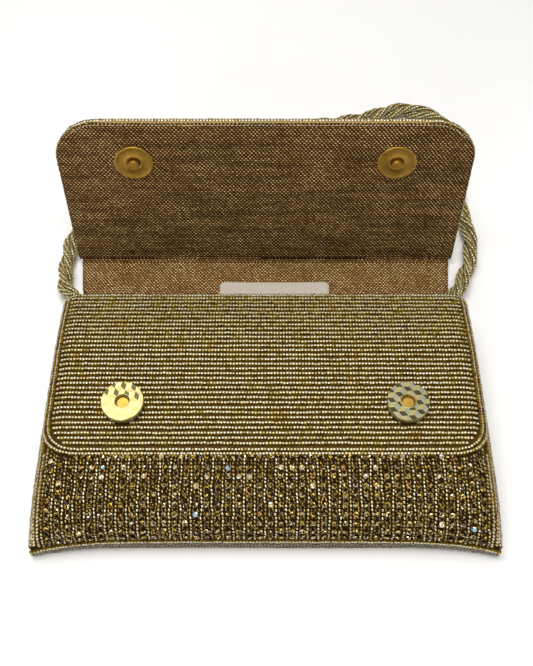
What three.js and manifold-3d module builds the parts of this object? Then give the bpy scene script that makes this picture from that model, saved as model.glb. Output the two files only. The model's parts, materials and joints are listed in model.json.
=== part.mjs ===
// A beaded evening bag lying on its back, its flap standing open. Millimetres, +Z up, +X to the right.
// The bottom of the pouch is towards -Y. The origin is on the table, under the middle of the bag.
//
// Three rigid groups follow the two folds: the pouch, the spine strip hinged to its back panel at
// crease one, and the flap hinged to the spine at crease two.
import * as THREE from 'three';
import { mergeVertices } from 'three/addons/utils/BufferGeometryUtils.js';
import Module from 'manifold-3d';

const wasm = await Module();
wasm.setup();

// --- Driving dimensions ---
const GAP = 0.3; // air left between pieces that touch
const BOTTOM_Y = -81.5; // bottom edge of the pouch, at the middle

const BOTTOM_WIDTH = 195.6; // across the pouch at its bottom corners
const MOUTH_WIDTH = 191.6; // across the pouch at its mouth
const POUCH_DEPTH = 110.8; // bottom edge to mouth edge, measured flat
const CREST_HEIGHT = 32.7; // highest line of the padded front
const CREST_FROM_BOTTOM = 80;
const CREST_DROP_BOTTOM = 7.9; // how far the front sinks from the crest towards the bottom
const CREST_DROP_MOUTH = 3.4; // and towards the mouth
const RIM_HEIGHT = 9.2; // seam between the front panel and the gussets
const CORNER_RIM_HEIGHT = 6.2; // the same seam at the pulled-down bottom corners
const CORNER_REACH = 4; // how far the bottom corners poke out past the bottom edge
const BOTTOM_SHOULDER = 24; // length over which the front rises from the bottom seam
const SIDE_SHOULDER = 13; // and from the side seams

const BEADED = 1.4; // cloth with its beads
const BOARD = 0.7; // stiffener
const LINING = 0.6; // woven lining
const FRONT_PADDING = 1.4; // room between the front's stiffener and its lining

const EDGING = 2; // beaded rows along the seams
const MOUTH_ROW = 1.7; // bead row along the mouth edge
const BORDER_WIDTH = 1.9; // bead row that repeats the flap's outline on the front
const BORDER_HEIGHT = 1.1;
const BORDER_FROM_BOTTOM = 32.6;
const BORDER_FROM_SIDE = 5.5;
const BORDER_CORNER = 14;

const CREASE_BEHIND_MOUTH = 2.4; // crease one, past the mouth edge
const CREASE_SLOT = 0.25; // half of the slit between two folding pieces

const FLAP_LENGTH = 82.6; // crease two to the free edge
const FLAP_WIDTH_FOLD = 189;
const FLAP_WIDTH_FREE = 191.2;
const FLAP_CORNER = 21;
const FLAP_REST_ANGLE = 80.3; // degrees from the spine, as it stands open
const FLAP_PIPING = 1;
const FLAP_EDGE_ROW = 2;

const SPINE_NECK_WIDTH = 160; // the spine's width where the strap comes out beside it
const SPINE_NECK_LENGTH = 8.5;
const SPINE_FLARE_END = 18.5;
const SPINE_SHOULDER_WIDTH = 182;
const SPINE_WIDTH_FLAP = 186;

const TICKET_WIDTH = 54;
const TICKET_LENGTH = 15;
const TICKET_THICKNESS = 0.4;
const TICKET_CORNER = 2.4;
const TICKET_FROM_CREASE = 7;
const TICKET_OFFSET = 4.5;

const SNAP_SPACING = 120;
const SNAP_DIAMETER = 18;
const SNAP_FROM_FOLD = 60.6; // stud's place on the flap, from crease two
const SNAP_FROM_BOTTOM = 52.2; // socket's place on the front
const SNAP_TILT = 3.5; // degrees, slope of the front under the socket
const SOCKET_CAP_HEIGHT = 3;
const SOCKET_HOLE = 5.9;
const SOCKET_SHEET = 0.5; // wall of the pressed cap and of the plates
const POLE_DIAMETER = 4.8;
const POLE_TOP = 0.9;
const WASHER_DIAMETER = 13;
const STUD_DIAMETER = 4.9;
const STUD_STANDS = 3; // from the lining to the stud's tip
const STUD_PLATE = 0.6;
const STUD_SHOULDER_DIAMETER = 8.4;
const STUD_SHOULDER_HEIGHT = 0.25;

const STRAP_DIAMETER = 8.6;
const TAB_LENGTH = 6; // sewn tab inside the pouch that holds each end of the strap
const TAB_WIDTH = 10;
const TAB_FROM_SIDE = 15.8; // from the pouch's bottom corners to the middle of each tab
const TAB_X = BOTTOM_WIDTH / 2 - TAB_FROM_SIDE;

// The strap's route, laid on the table behind the bag. Its ends run straight out of the two tabs.
const STRAP_ROUTE = [
  [-TAB_X, 17, 9],
  [-TAB_X - 0.4, 24, 9],
  [-TAB_X - 1.6, 31, 9],
  [-88, 37, 8.7],
  [-94, 42.5, 7.8],
  [-98.5, 49, 6.2],
  [-99.8, 57, 5],
  [-99.8, 66, 4.6],
  [-99.4, 75, 4.5],
  [-97.4, 84, 4.5],
  [-93.5, 95, 4.5],
  [-88.5, 108, 4.5],
  [-82, 124, 4.5],
  [-70, 144, 4.5],
  [-50, 160, 4.5],
  [-18, 161.5, 4.5],
  [20, 161, 4.5],
  [50, 165.5, 4.5],
  [76, 174, 4.5],
  [94, 169, 4.5],
  [104, 153, 4.5],
  [105, 132, 4.5],
  [102.4, 113, 4.5],
  [103, 97, 4.5],
  [104.6, 83, 4.5],
  [103.4, 69, 4.6],
  [99, 57, 5.4],
  [94.4, 47.5, 7],
  [90.2, 41, 8.2],
  [86.6, 35.5, 8.9],
  [TAB_X + 1.5, 30, 9],
  [TAB_X + 0.4, 23.5, 9],
  [TAB_X, 17, 9],
];
const STRAP_SIDES = 8;
const STRAP_STEPS = 44;

// --- Sizes that follow ---
const STACK = BEADED + GAP + BOARD + GAP + LINING; // a flat panel from beads to lining
const MOUTH_Y = BOTTOM_Y + POUCH_DEPTH;
const PANEL_END_Y = MOUTH_Y - MOUTH_ROW - GAP;
const CREASE_ONE_Y = MOUTH_Y + CREASE_BEHIND_MOUTH;
const BOARD_INSET = BEADED + 3 * GAP;
const LINING_INSET = BOARD_INSET + BOARD + FRONT_PADDING;
const SNAP_Y = BOTTOM_Y + SNAP_FROM_BOTTOM;
const TILT = THREE.MathUtils.degToRad(SNAP_TILT);
const RIVET_HOLE = POLE_DIAMETER / 2 + GAP;
const WASHER_THICKNESS = SOCKET_SHEET;

// --- Materials ---
const finish = (color, roughness, metalness) =>
  new THREE.MeshStandardMaterial({ color, roughness, metalness });
const goldBeads = () => finish(0x9c7a32, 0.3, 0.2);
const paleBeads = () => finish(0xa9a577, 0.3, 0.2);
const liningCloth = () => finish(0x6b4a2a, 0.9, 0);
const spineCloth = () => finish(0xa37a52, 0.9, 0);
const board = () => finish(0xcbbd9d, 0.9, 0);
const piping = () => finish(0xb08d4a, 0.6, 0);
const paleBrass = () => finish(0xd9cd94, 0.3, 0.9);
const antiqueBrass = () => finish(0xa37a36, 0.4, 0.9);
const steel = () => finish(0x8d8d8a, 0.45, 0.9);
const card = () => finish(0xe6ded0, 0.8, 0);

function piece(name, geometry, material) {
  const mesh = new THREE.Mesh(geometry, material);
  mesh.name = name;
  return mesh;
}

// --- Shapes ---
// A bent sheet: place(u, v, w) maps the unit cube's u, v (across the sheet) and w (0 inside, 1 outside).
function bentSheet(uSteps, vSteps, place) {
  const geometry = new THREE.BoxGeometry(1, 1, 1, uSteps, vSteps, 1);
  const position = geometry.attributes.position;
  for (let i = 0; i < position.count; i += 1) {
    const u = position.getX(i) + 0.5;
    const v = position.getY(i) + 0.5;
    const w = position.getZ(i) + 0.5;
    position.setXYZ(i, ...place(u, v, w));
  }
  return geometry;
}

function plate(shape, bottom, thickness) {
  const geometry = new THREE.ExtrudeGeometry(shape, { depth: thickness, bevelEnabled: false, curveSegments: 5 });
  return geometry.translate(0, 0, bottom);
}

function polygon(points) {
  return new THREE.Shape(points.map(([x, y]) => new THREE.Vector2(x, y)));
}

function circlePoints(x, y, radius, sides) {
  return Array.from({ length: sides }, (_, i) => {
    const angle = (2 * Math.PI * i) / sides;
    return new THREE.Vector2(x + radius * Math.cos(angle), y + radius * Math.sin(angle));
  });
}

// A turned piece about Z: the profile's points are [radius, height] and close on themselves.
function turned(profile, segments = 24) {
  const points = profile.map(([r, z]) => new THREE.Vector2(r, z));
  const geometry = new THREE.LatheGeometry([...points, points[0]], segments);
  return geometry.rotateX(Math.PI / 2);
}

const ring = (inner, outer, low, high) => turned([[inner, low], [outer, low], [outer, high], [inner, high]]);
const disc = (radius, low, high) =>
  new THREE.CylinderGeometry(radius, radius, high - low, 20).rotateX(Math.PI / 2).translate(0, 0, (low + high) / 2);

function solid(geometry) {
  const bare = geometry.clone();
  bare.deleteAttribute('normal');
  bare.deleteAttribute('uv');
  const welded = mergeVertices(bare, 1e-4);
  return new wasm.Manifold(new wasm.Mesh({
    numProp: 3,
    vertProperties: new Float32Array(welded.attributes.position.array),
    triVerts: new Uint32Array(welded.index.array),
  }));
}

function geometryOf(manifold) {
  const mesh = manifold.getMesh();
  const geometry = new THREE.BufferGeometry();
  geometry.setAttribute('position', new THREE.BufferAttribute(mesh.vertProperties, 3));
  geometry.setIndex(new THREE.BufferAttribute(mesh.triVerts, 1));
  geometry.computeVertexNormals();
  return geometry;
}

// --- The padded front ---
// Rises from 0 at the seam to 1 where the shoulder ends.
function shoulder(distance, length) {
  const t = THREE.MathUtils.clamp(distance / length, 0, 1);
  return (1 - (1 - t) ** 2.5) ** 0.4;
}

function pouchHalfWidth(y) {
  const t = (y - BOTTOM_Y) / POUCH_DEPTH;
  return THREE.MathUtils.lerp(BOTTOM_WIDTH, MOUTH_WIDTH, THREE.MathUtils.clamp(t, 0, 1)) / 2;
}

const bottomEdge = (u) => BOTTOM_Y - CORNER_REACH * Math.abs(u) ** 6;

function crownHeight(y) {
  const fromBottom = y - BOTTOM_Y;
  if (fromBottom < CREST_FROM_BOTTOM) {
    return CREST_HEIGHT - CREST_DROP_BOTTOM * ((CREST_FROM_BOTTOM - fromBottom) / CREST_FROM_BOTTOM) ** 1.35;
  }
  return CREST_HEIGHT - CREST_DROP_MOUTH * ((fromBottom - CREST_FROM_BOTTOM) / (POUCH_DEPTH - CREST_FROM_BOTTOM)) ** 2;
}

function rimHeight(u, y) {
  const towardsCorner = Math.abs(u) ** 6 * (1 - THREE.MathUtils.smoothstep(y - BOTTOM_Y, 0, BOTTOM_SHOULDER));
  return THREE.MathUtils.lerp(RIM_HEIGHT, CORNER_RIM_HEIGHT, towardsCorner);
}

// Height of the front surface pushed in by inset, u across and y along the pouch. It starts at the rim.
function frontHeight(u, y, inset, rim = rimHeight(u, y)) {
  const side = shoulder((1 - Math.abs(u)) * (pouchHalfWidth(y) - inset), SIDE_SHOULDER);
  const end = shoulder(y - bottomEdge(u) - inset, BOTTOM_SHOULDER);
  return rim + (crownHeight(y) - inset - rim) * side * end;
}

// A shell of the front between two insets.
function frontShell(outerInset, thickness, rim) {
  return bentSheet(20, 11, (s, t, w) => {
    const inset = outerInset + thickness * (1 - w);
    const u = Math.sin((s - 0.5) * Math.PI);
    const low = bottomEdge(u) + inset;
    const y = low + (PANEL_END_Y - low) * t ** 1.7;
    return [u * (pouchHalfWidth(y) - inset), y, frontHeight(u, y, inset, rim)];
  });
}

function surfacePoint(x, y, lift) {
  const at = (px, py) => frontHeight(px / pouchHalfWidth(py), py, 0);
  const step = 0.5;
  const slopeX = (at(x + step, y) - at(x - step, y)) / (2 * step);
  const slopeY = (at(x, y + step) - at(x, y - step)) / (2 * step);
  const normal = new THREE.Vector3(-slopeX, -slopeY, 1).normalize();
  return new THREE.Vector3(x, y, at(x, y)).addScaledVector(normal, lift);
}

const SOCKET_BASE_Z = frontHeight(SNAP_SPACING / 2 / pouchHalfWidth(SNAP_Y), SNAP_Y, 0) + 3 * GAP;

function onSocket(x, object) {
  object.position.set(x, SNAP_Y, SOCKET_BASE_Z);
  object.rotation.x = TILT;
  return object;
}

function cutForRivets(geometry) {
  let cut = solid(geometry);
  for (const side of [-1, 1]) {
    const drill = disc(RIVET_HOLE, -12, 6);
    drill.rotateX(TILT).translate(side * SNAP_SPACING / 2, SNAP_Y, SOCKET_BASE_Z);
    cut = cut.subtract(solid(drill));
  }
  return geometryOf(cut);
}

function frontPieces() {
  const liningRim = STACK + GAP;
  return [
    piece('front_panel', cutForRivets(frontShell(0, BEADED)), goldBeads()),
    piece('front_stiffener', cutForRivets(frontShell(BOARD_INSET, BOARD)), board()),
    piece('front_lining', frontShell(LINING_INSET, LINING, liningRim), liningCloth()),
  ];
}

// --- Seams, gussets and bead rows of the pouch ---
// A wall standing along one side, from low(y) to high(y), its outer face on the pouch's side.
function sideWall(side, thickness, low, high) {
  const start = BOTTOM_Y - CORNER_REACH + BEADED + 3 * GAP;
  return bentSheet(1, 12, (w, t, s) => {
    const y = start + (MOUTH_Y - start) * t;
    const x = side * (pouchHalfWidth(y) - thickness) + thickness * (side > 0 ? w : w - 1);
    return [x, y, s ? high(y) : low(y)];
  });
}

function gussetPieces(side, name) {
  const rim = (y) => rimHeight(1, y) - GAP;
  const seam = (y) => rim(y) - EDGING;
  return [
    piece(`gusset_${name}`, sideWall(side, BEADED, () => BEADED + GAP, (y) => seam(y) - GAP), goldBeads()),
    piece(`side_edging_${name}`, sideWall(side, EDGING - GAP, seam, rim), goldBeads()),
  ];
}

function bottomBand() {
  const inside = (y) => pouchHalfWidth(y);
  return bentSheet(24, 1, (s, w, t) => {
    const u = Math.sin((s - 0.5) * Math.PI);
    const y = bottomEdge(u) + BEADED * w;
    const low = BEADED + GAP;
    const high = rimHeight(u, y) - GAP;
    return [u * inside(y), y, t ? high : low];
  });
}

function mouthBeading() {
  return bentSheet(20, 1, (s, t, w) => {
    const u = Math.sin((s - 0.5) * Math.PI);
    const inset = BEADED * (1 - w);
    const y = MOUTH_Y - MOUTH_ROW * (1 - t);
    return [u * (pouchHalfWidth(MOUTH_Y) - inset), y, frontHeight(u, MOUTH_Y, inset)];
  });
}

// The outline of the closed flap on the front: down one side, round the corner, across and up again.
function borderRoute() {
  const route = new THREE.Path();
  const low = BOTTOM_Y + BORDER_FROM_BOTTOM;
  const top = pouchHalfWidth(MOUTH_Y) - BORDER_FROM_SIDE;
  const bottom = pouchHalfWidth(low) - BORDER_FROM_SIDE;
  route.moveTo(-top, PANEL_END_Y);
  route.lineTo(-bottom, low + BORDER_CORNER);
  route.quadraticCurveTo(-bottom, low, -bottom + BORDER_CORNER, low);
  route.lineTo(bottom - BORDER_CORNER, low);
  route.quadraticCurveTo(bottom, low, bottom, low + BORDER_CORNER);
  route.lineTo(top, PANEL_END_Y);
  return route;
}

function frontBorder() {
  const route = borderRoute();
  return bentSheet(60, 1, (s, t, w) => {
    const at = route.getPointAt(s);
    const along = route.getTangentAt(s);
    const across = (t - 0.5) * BORDER_WIDTH;
    const point = surfacePoint(at.x - along.y * across, at.y + along.x * across, GAP + 0.1 + BORDER_HEIGHT * w);
    return point.toArray();
  });
}

// --- The flat back of the pouch ---
function backOutline(inset) {
  const steps = 18;
  const points = [];
  for (let i = 0; i <= steps; i += 1) {
    const u = Math.sin((i / steps - 0.5) * Math.PI);
    const y = bottomEdge(u) + inset;
    points.push([u * (pouchHalfWidth(y) - inset), y]);
  }
  const end = CREASE_ONE_Y - CREASE_SLOT;
  const neck = SPINE_NECK_WIDTH / 2;
  const shoulderY = MOUTH_Y - GAP;
  const half = pouchHalfWidth(shoulderY) - inset;
  points.push([half, shoulderY], [neck, end], [-neck, end], [-half, shoulderY]);
  return polygon(points);
}

function backPieces() {
  return [
    piece('back_panel', plate(backOutline(0), 0, BEADED), goldBeads()),
    piece('back_stiffener', plate(backOutline(BEADED + EDGING), BEADED + GAP, BOARD), board()),
    piece('back_lining', plate(backOutline(BEADED + EDGING), STACK - LINING, LINING), liningCloth()),
  ];
}

// --- Magnetic snaps ---
function socketPieces(side, name) {
  const outer = SNAP_DIAMETER / 2;
  const hole = SOCKET_HOLE / 2;
  const top = SOCKET_CAP_HEIGHT;
  const under = top - SOCKET_SHEET;
  const cap = turned([
    [outer - SOCKET_SHEET, 0], [outer, 0], [outer, top - 0.5], [outer - 0.15, top - 0.15], [outer - 0.5, top],
    [hole, top], [hole, under], [outer - SOCKET_SHEET, under],
  ], 28);
  const inside = outer - SOCKET_SHEET - GAP;
  const base = ring(RIVET_HOLE, inside, 0, SOCKET_SHEET);
  const magnet = ring(hole + GAP, inside, SOCKET_SHEET + GAP, under - GAP);
  const washerTop = -(3 * GAP + BOARD_INSET + BOARD + GAP + 0.1);
  const washer = ring(RIVET_HOLE, WASHER_DIAMETER / 2, washerTop - WASHER_THICKNESS, washerTop);
  const pole = disc(POLE_DIAMETER / 2, washerTop - WASHER_THICKNESS, POLE_TOP);
  const x = side * SNAP_SPACING / 2;
  return [
    onSocket(x, piece(`snap_socket_cap_${name}`, cap, paleBrass())),
    onSocket(x, piece(`snap_magnet_${name}`, magnet, steel())),
    onSocket(x, piece(`snap_socket_base_${name}`, base, antiqueBrass())),
    onSocket(x, piece(`snap_socket_pole_${name}`, pole, antiqueBrass())),
    onSocket(x, piece(`snap_socket_washer_${name}`, washer, steel())),
  ];
}

function studPieces(side, name) {
  const hole = STUD_DIAMETER / 2 + GAP;
  const low = GAP;
  const high = low + STUD_PLATE;
  const raised = high + STUD_SHOULDER_HEIGHT;
  const rimRadius = SNAP_DIAMETER / 2;
  const shoulderRadius = STUD_SHOULDER_DIAMETER / 2;
  const studPlate = turned([
    [hole, low], [rimRadius, low], [rimRadius, high - 0.2], [rimRadius - 0.4, high],
    [shoulderRadius, high], [shoulderRadius - 0.9, raised], [hole, raised],
  ], 28);
  const back = -(LINING + GAP + BOARD);
  const pin = turned([
    [0, back], [STUD_DIAMETER / 2, back], [STUD_DIAMETER / 2, STUD_STANDS - 0.4],
    [STUD_DIAMETER / 2 - 0.4, STUD_STANDS], [0, STUD_STANDS],
  ], 20);
  const washer = ring(hole, WASHER_DIAMETER / 2, back, back + WASHER_THICKNESS);
  const pieces = [
    piece(`snap_stud_plate_${name}`, studPlate, antiqueBrass()),
    piece(`snap_stud_${name}`, pin, antiqueBrass()),
    piece(`snap_stud_washer_${name}`, washer, steel()),
  ];
  for (const part of pieces) {
    part.position.set(side * SNAP_SPACING / 2, SNAP_FROM_FOLD, 0);
  }
  return pieces;
}

// --- The spine strip between the two creases. Its lining face is at local z = 0. ---
// Closed, the studs sit in the sockets, which settles how long the spine is.
function closedCreaseTwo() {
  const stack = SOCKET_CAP_HEIGHT + GAP + GAP + STUD_PLATE + STUD_SHOULDER_HEIGHT;
  return new THREE.Vector2(
    SNAP_Y - Math.sin(TILT) * stack + Math.cos(TILT) * SNAP_FROM_FOLD,
    SOCKET_BASE_Z + Math.cos(TILT) * stack + Math.sin(TILT) * SNAP_FROM_FOLD,
  );
}

const SPINE_LENGTH = closedCreaseTwo().distanceTo(new THREE.Vector2(CREASE_ONE_Y, STACK));

function spineHalfWidth(s) {
  const flare = THREE.MathUtils.smoothstep(s, SPINE_NECK_LENGTH, SPINE_FLARE_END);
  const widening = THREE.MathUtils.clamp((s - SPINE_FLARE_END) / (SPINE_LENGTH - SPINE_FLARE_END), 0, 1);
  const width = THREE.MathUtils.lerp(SPINE_NECK_WIDTH, SPINE_SHOULDER_WIDTH, flare)
    + (SPINE_WIDTH_FLAP - SPINE_SHOULDER_WIDTH) * widening;
  return width / 2;
}

function spineOutline(inset) {
  const steps = 14;
  const right = [];
  for (let i = 0; i <= steps; i += 1) {
    const s = THREE.MathUtils.lerp(CREASE_SLOT, SPINE_LENGTH - CREASE_SLOT, i / steps);
    right.push([spineHalfWidth(s) - inset, s]);
  }
  const left = right.map(([x, s]) => [-x, s]).reverse();
  return polygon([...right, ...left]);
}

function ticketOutline() {
  const half = TICKET_WIDTH / 2;
  const [low, high, round] = [TICKET_FROM_CREASE, TICKET_FROM_CREASE + TICKET_LENGTH, TICKET_CORNER];
  const shape = new THREE.Shape();
  shape.moveTo(-half, low);
  shape.lineTo(half, low);
  shape.lineTo(half, high - round);
  shape.absarc(half - round, high - round, round, 0, Math.PI / 2, false);
  shape.lineTo(-half + round, high);
  shape.absarc(-half + round, high - round, round, Math.PI / 2, Math.PI, false);
  return shape;
}

function spinePieces() {
  const ticket = piece('ticket', plate(ticketOutline(), GAP, TICKET_THICKNESS), card());
  ticket.position.x = TICKET_OFFSET;
  return [
    piece('spine_panel', plate(spineOutline(0), -STACK, BEADED), goldBeads()),
    piece('spine_stiffener', plate(spineOutline(EDGING), -LINING - GAP - BOARD, BOARD), board()),
    piece('spine_lining', plate(spineOutline(EDGING / 2), -LINING, LINING), spineCloth()),
    ticket,
  ];
}

// --- The flap. Its lining face is at local z = 0 and its free edge at y = FLAP_LENGTH. ---
// The outline from the left end of the fold, round the free edge, to the right end of the fold.
function flapEdge(inset) {
  const foldHalf = FLAP_WIDTH_FOLD / 2 - inset;
  const freeHalf = FLAP_WIDTH_FREE / 2 - inset;
  const free = FLAP_LENGTH - inset;
  const radius = FLAP_CORNER - inset;
  const steps = 10;
  const right = [];
  for (let i = 0; i <= steps; i += 1) {
    const angle = (Math.PI / 2) * (1 - i / steps);
    right.push([freeHalf - radius + radius * Math.cos(angle), free - radius + radius * Math.sin(angle)]);
  }
  right.push([foldHalf, CREASE_SLOT]);
  const left = right.map(([x, y]) => [-x, y]).reverse();
  return [...left, ...right];
}

function flapSheet(inset, bottom, thickness, holeRadius) {
  const shape = polygon(flapEdge(inset).reverse());
  if (holeRadius) {
    for (const side of [-1, 1]) {
      const rim = circlePoints(side * SNAP_SPACING / 2, SNAP_FROM_FOLD, holeRadius, 24);
      shape.holes.push(new THREE.Path(rim.reverse()));
    }
  }
  return plate(shape, bottom, thickness);
}

function flapBand(outerInset, width, bottom, thickness) {
  const points = [...flapEdge(outerInset), ...flapEdge(outerInset + width).reverse()];
  return plate(polygon(points), bottom, thickness);
}

function flapPieces() {
  const panelInset = FLAP_EDGE_ROW + GAP;
  const liningInset = panelInset + FLAP_PIPING + GAP;
  const pinHole = STUD_DIAMETER / 2 + GAP;
  const boardHole = WASHER_DIAMETER / 2 + GAP;
  return [
    piece('flap_panel', flapSheet(panelInset, -STACK, BEADED), goldBeads()),
    piece('flap_stiffener', flapSheet(liningInset + EDGING, -LINING - GAP - BOARD, BOARD, boardHole), board()),
    piece('flap_lining', flapSheet(liningInset, -LINING, LINING, pinHole), liningCloth()),
    piece('flap_edge_beading', flapBand(0, FLAP_EDGE_ROW, -STACK, FLAP_EDGE_ROW), paleBeads()),
    piece('flap_piping', flapBand(panelInset, FLAP_PIPING, -LINING, LINING), piping()),
    ...studPieces(-1, 'left'),
    ...studPieces(1, 'right'),
  ];
}

// --- The strap: a twisted rope of bead strings, held by a tab at each end ---
function strapTab(side, name) {
  const low = STACK + GAP;
  const high = STRAP_ROUTE[0][2] + STRAP_DIAMETER / 2;
  const tab = new THREE.BoxGeometry(TAB_WIDTH, TAB_LENGTH, high - low);
  const y = STRAP_ROUTE[0][1] - GAP - TAB_LENGTH / 2;
  tab.translate(side * TAB_X, y, (low + high) / 2);
  return piece(`strap_tab_${name}`, tab, liningCloth());
}

function strapRope() {
  const section = new THREE.Shape(circlePoints(0, 0, STRAP_DIAMETER / 2, STRAP_SIDES));
  const route = new THREE.CatmullRomCurve3(STRAP_ROUTE.map((point) => new THREE.Vector3(...point)));
  return new THREE.ExtrudeGeometry(section, {
    steps: STRAP_STEPS,
    extrudePath: route,
  });
}

// --- Assembly ---
const bag = new THREE.Group();
bag.add(
  ...backPieces(),
  ...frontPieces(),
  ...gussetPieces(-1, 'left'),
  ...gussetPieces(1, 'right'),
  piece('bottom_band', bottomBand(), paleBeads()),
  piece('mouth_beading', mouthBeading(), paleBeads()),
  piece('front_border', frontBorder(), paleBeads()),
  ...socketPieces(-1, 'left'),
  ...socketPieces(1, 'right'),
  strapTab(-1, 'left'),
  strapTab(1, 'right'),
  piece('strap', strapRope(), paleBeads()),
);

const spine = new THREE.Group();
spine.position.set(0, CREASE_ONE_Y, STACK);
spine.add(...spinePieces());
bag.add(spine);

const flap = new THREE.Group();
flap.position.set(0, SPINE_LENGTH, 0);
flap.rotation.x = THREE.MathUtils.degToRad(FLAP_REST_ANGLE);
flap.add(...flapPieces());
spine.add(flap);

export default bag;
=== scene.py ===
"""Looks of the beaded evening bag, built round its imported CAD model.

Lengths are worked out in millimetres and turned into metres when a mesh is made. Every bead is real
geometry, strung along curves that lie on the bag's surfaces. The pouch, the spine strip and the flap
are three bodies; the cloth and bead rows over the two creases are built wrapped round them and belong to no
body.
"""

import json
import math

import bpy
import numpy as np
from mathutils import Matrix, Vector


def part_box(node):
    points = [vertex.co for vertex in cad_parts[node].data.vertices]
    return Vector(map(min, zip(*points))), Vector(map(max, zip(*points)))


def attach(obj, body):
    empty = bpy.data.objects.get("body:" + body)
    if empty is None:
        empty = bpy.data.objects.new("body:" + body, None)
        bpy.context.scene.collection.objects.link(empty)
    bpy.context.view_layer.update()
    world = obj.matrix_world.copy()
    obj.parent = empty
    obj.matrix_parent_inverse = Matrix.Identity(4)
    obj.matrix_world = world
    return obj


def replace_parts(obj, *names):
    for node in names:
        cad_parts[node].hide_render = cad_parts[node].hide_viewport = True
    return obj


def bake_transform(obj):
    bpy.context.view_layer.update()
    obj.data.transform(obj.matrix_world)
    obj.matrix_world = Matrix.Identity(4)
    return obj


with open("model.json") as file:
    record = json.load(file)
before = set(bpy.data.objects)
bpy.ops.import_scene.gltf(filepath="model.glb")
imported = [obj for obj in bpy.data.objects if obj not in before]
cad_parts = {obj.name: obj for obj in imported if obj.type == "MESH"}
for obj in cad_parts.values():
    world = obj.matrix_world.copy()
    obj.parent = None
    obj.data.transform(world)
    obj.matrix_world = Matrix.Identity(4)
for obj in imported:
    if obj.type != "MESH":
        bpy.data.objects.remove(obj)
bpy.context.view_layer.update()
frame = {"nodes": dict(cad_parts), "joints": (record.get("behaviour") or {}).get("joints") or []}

MM = 0.001
rng = np.random.default_rng(7)


# ------------------------------------------------------------------ sizes, from the frame
def corners(node):
    """The lowest and highest corner of a CAD node, in millimetres."""
    low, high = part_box(node)
    return np.array(low) / MM, np.array(high) / MM


def middle(node):
    """The middle of a CAD node's box, in millimetres."""
    low, high = corners(node)
    return (low + high) / 2


JOINTS = {joint["name"]: joint for joint in frame["joints"]}
CREASE_1 = np.array(JOINTS["spine_fold"]["pos_m"]) / MM
CREASE_2 = np.array(JOINTS["flap_fold"]["pos_m"]) / MM

FRONT_LOW, FRONT_HIGH = corners("front_panel")
MOUTH_Y = corners("mouth_beading")[1][1]
CORNER_REACH = 4.0  # how far the bottom corners are pulled out
BOTTOM_Y = FRONT_LOW[1] + CORNER_REACH
DEPTH = MOUTH_Y - BOTTOM_Y
BOTTOM_WIDTH = FRONT_HIGH[0] - FRONT_LOW[0]
MOUTH_WIDTH = 191.6
CREST = 32.7  # height of the front's highest line
CREST_FROM_BOTTOM = 80.0
CREST_DROP_BOTTOM = 7.9
CREST_DROP_MOUTH = 3.4
RIM = 9.2  # height of the front's edge
CORNER_RIM = 6.2
BOTTOM_SHOULDER = 24.0
SIDE_SHOULDER = 13.0
SHOULDER_POWER = 2.5
BORDER_Y = BOTTOM_Y + 32.6  # the outline that parts the upper front from the lower
BORDER_INSET = 5.5
BORDER_CORNER = 14.0
BORDER_GAP = 2.0  # between the outline's two bead rows

STACK = CREASE_1[2]  # thickness of a panel, from its beads to its lining's face
BEADED = 1.4
LINING = 0.6

FLAP_ANGLE = math.radians(80.3)
FLAP_ALONG = np.array([0, math.cos(FLAP_ANGLE), math.sin(FLAP_ANGLE)])
FLAP_OUT = np.array([0, -math.sin(FLAP_ANGLE), math.cos(FLAP_ANGLE)])
FLAP_LENGTH = 82.6
FLAP_FOLD_HALF = 94.5
FLAP_FREE_HALF = 95.6
FLAP_CORNER = 21.0
SPINE_LENGTH = CREASE_2[1] - CREASE_1[1]
SPINE_NECK = 8.5
SPINE_FLARE_END = 18.5
SPINE_NECK_WIDTH = 160.0
SPINE_FLARE = 22.0
SPINE_WIDENING = 4.0

BEAD = 1.9  # diameter of a seed bead
BEAD_PITCH = 1.36  # its length along the thread
BEAD_RINGS = [(-0.5, 0.3), (-0.4, 0.46), (0.4, 0.46), (0.5, 0.3)]  # (place, radius) along a unit bead
CROWN_DEGREES = {6: 28, 8: 26}  # half the crown's angle, by the number of sides
ROW_PITCH = 2.25
COLUMN_PITCH = 4.3
COLUMN_BEAD_PITCH = 1.6
SLANTED_PITCH = 1.5  # of slanted beads at seams and of the filler
CRYSTAL = 2.5
CRYSTAL_PITCH = 3.8

SNAP_RADIUS = 9.0
SNAP_X = middle("snap_socket_cap_right")[0]
SOCKET_Y = middle("snap_socket_pole_right")[1]
SOCKET_HEIGHT = 3.0
SOCKET_TILT = math.radians(3.5)
SOCKET_HOLE = 2.95
POLE_RADIUS = 2.4
STUD_RADIUS = 2.45
CAP_TURN = {"left": 0.35, "right": 0.1}
SIDES = ((-1, "left"), (1, "right"))

STRAP_ROUTE = [
    (-82, 17, 9), (-82.4, 24, 9), (-83.6, 31, 9), (-88, 37, 8.7), (-94, 42.5, 7.8), (-98.5, 49, 6.2),
    (-99.8, 57, 5), (-99.8, 66, 4.6), (-99.4, 75, 4.5), (-97.4, 84, 4.5), (-93.5, 95, 4.5),
    (-88.5, 108, 4.5), (-82, 124, 4.5), (-70, 144, 4.5), (-50, 160, 4.5), (-18, 161.5, 4.5),
    (20, 161, 4.5), (50, 165.5, 4.5), (76, 174, 4.5), (94, 169, 4.5), (104, 153, 4.5), (105, 132, 4.5),
    (102.4, 113, 4.5), (103, 97, 4.5), (104.6, 83, 4.5), (103.4, 69, 4.6), (99, 57, 5.4),
    (94.4, 47.5, 7), (90.2, 41, 8.2), (86.6, 35.5, 8.9), (83.5, 30, 9), (82.4, 23.5, 9), (82, 17, 9),
]


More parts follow.
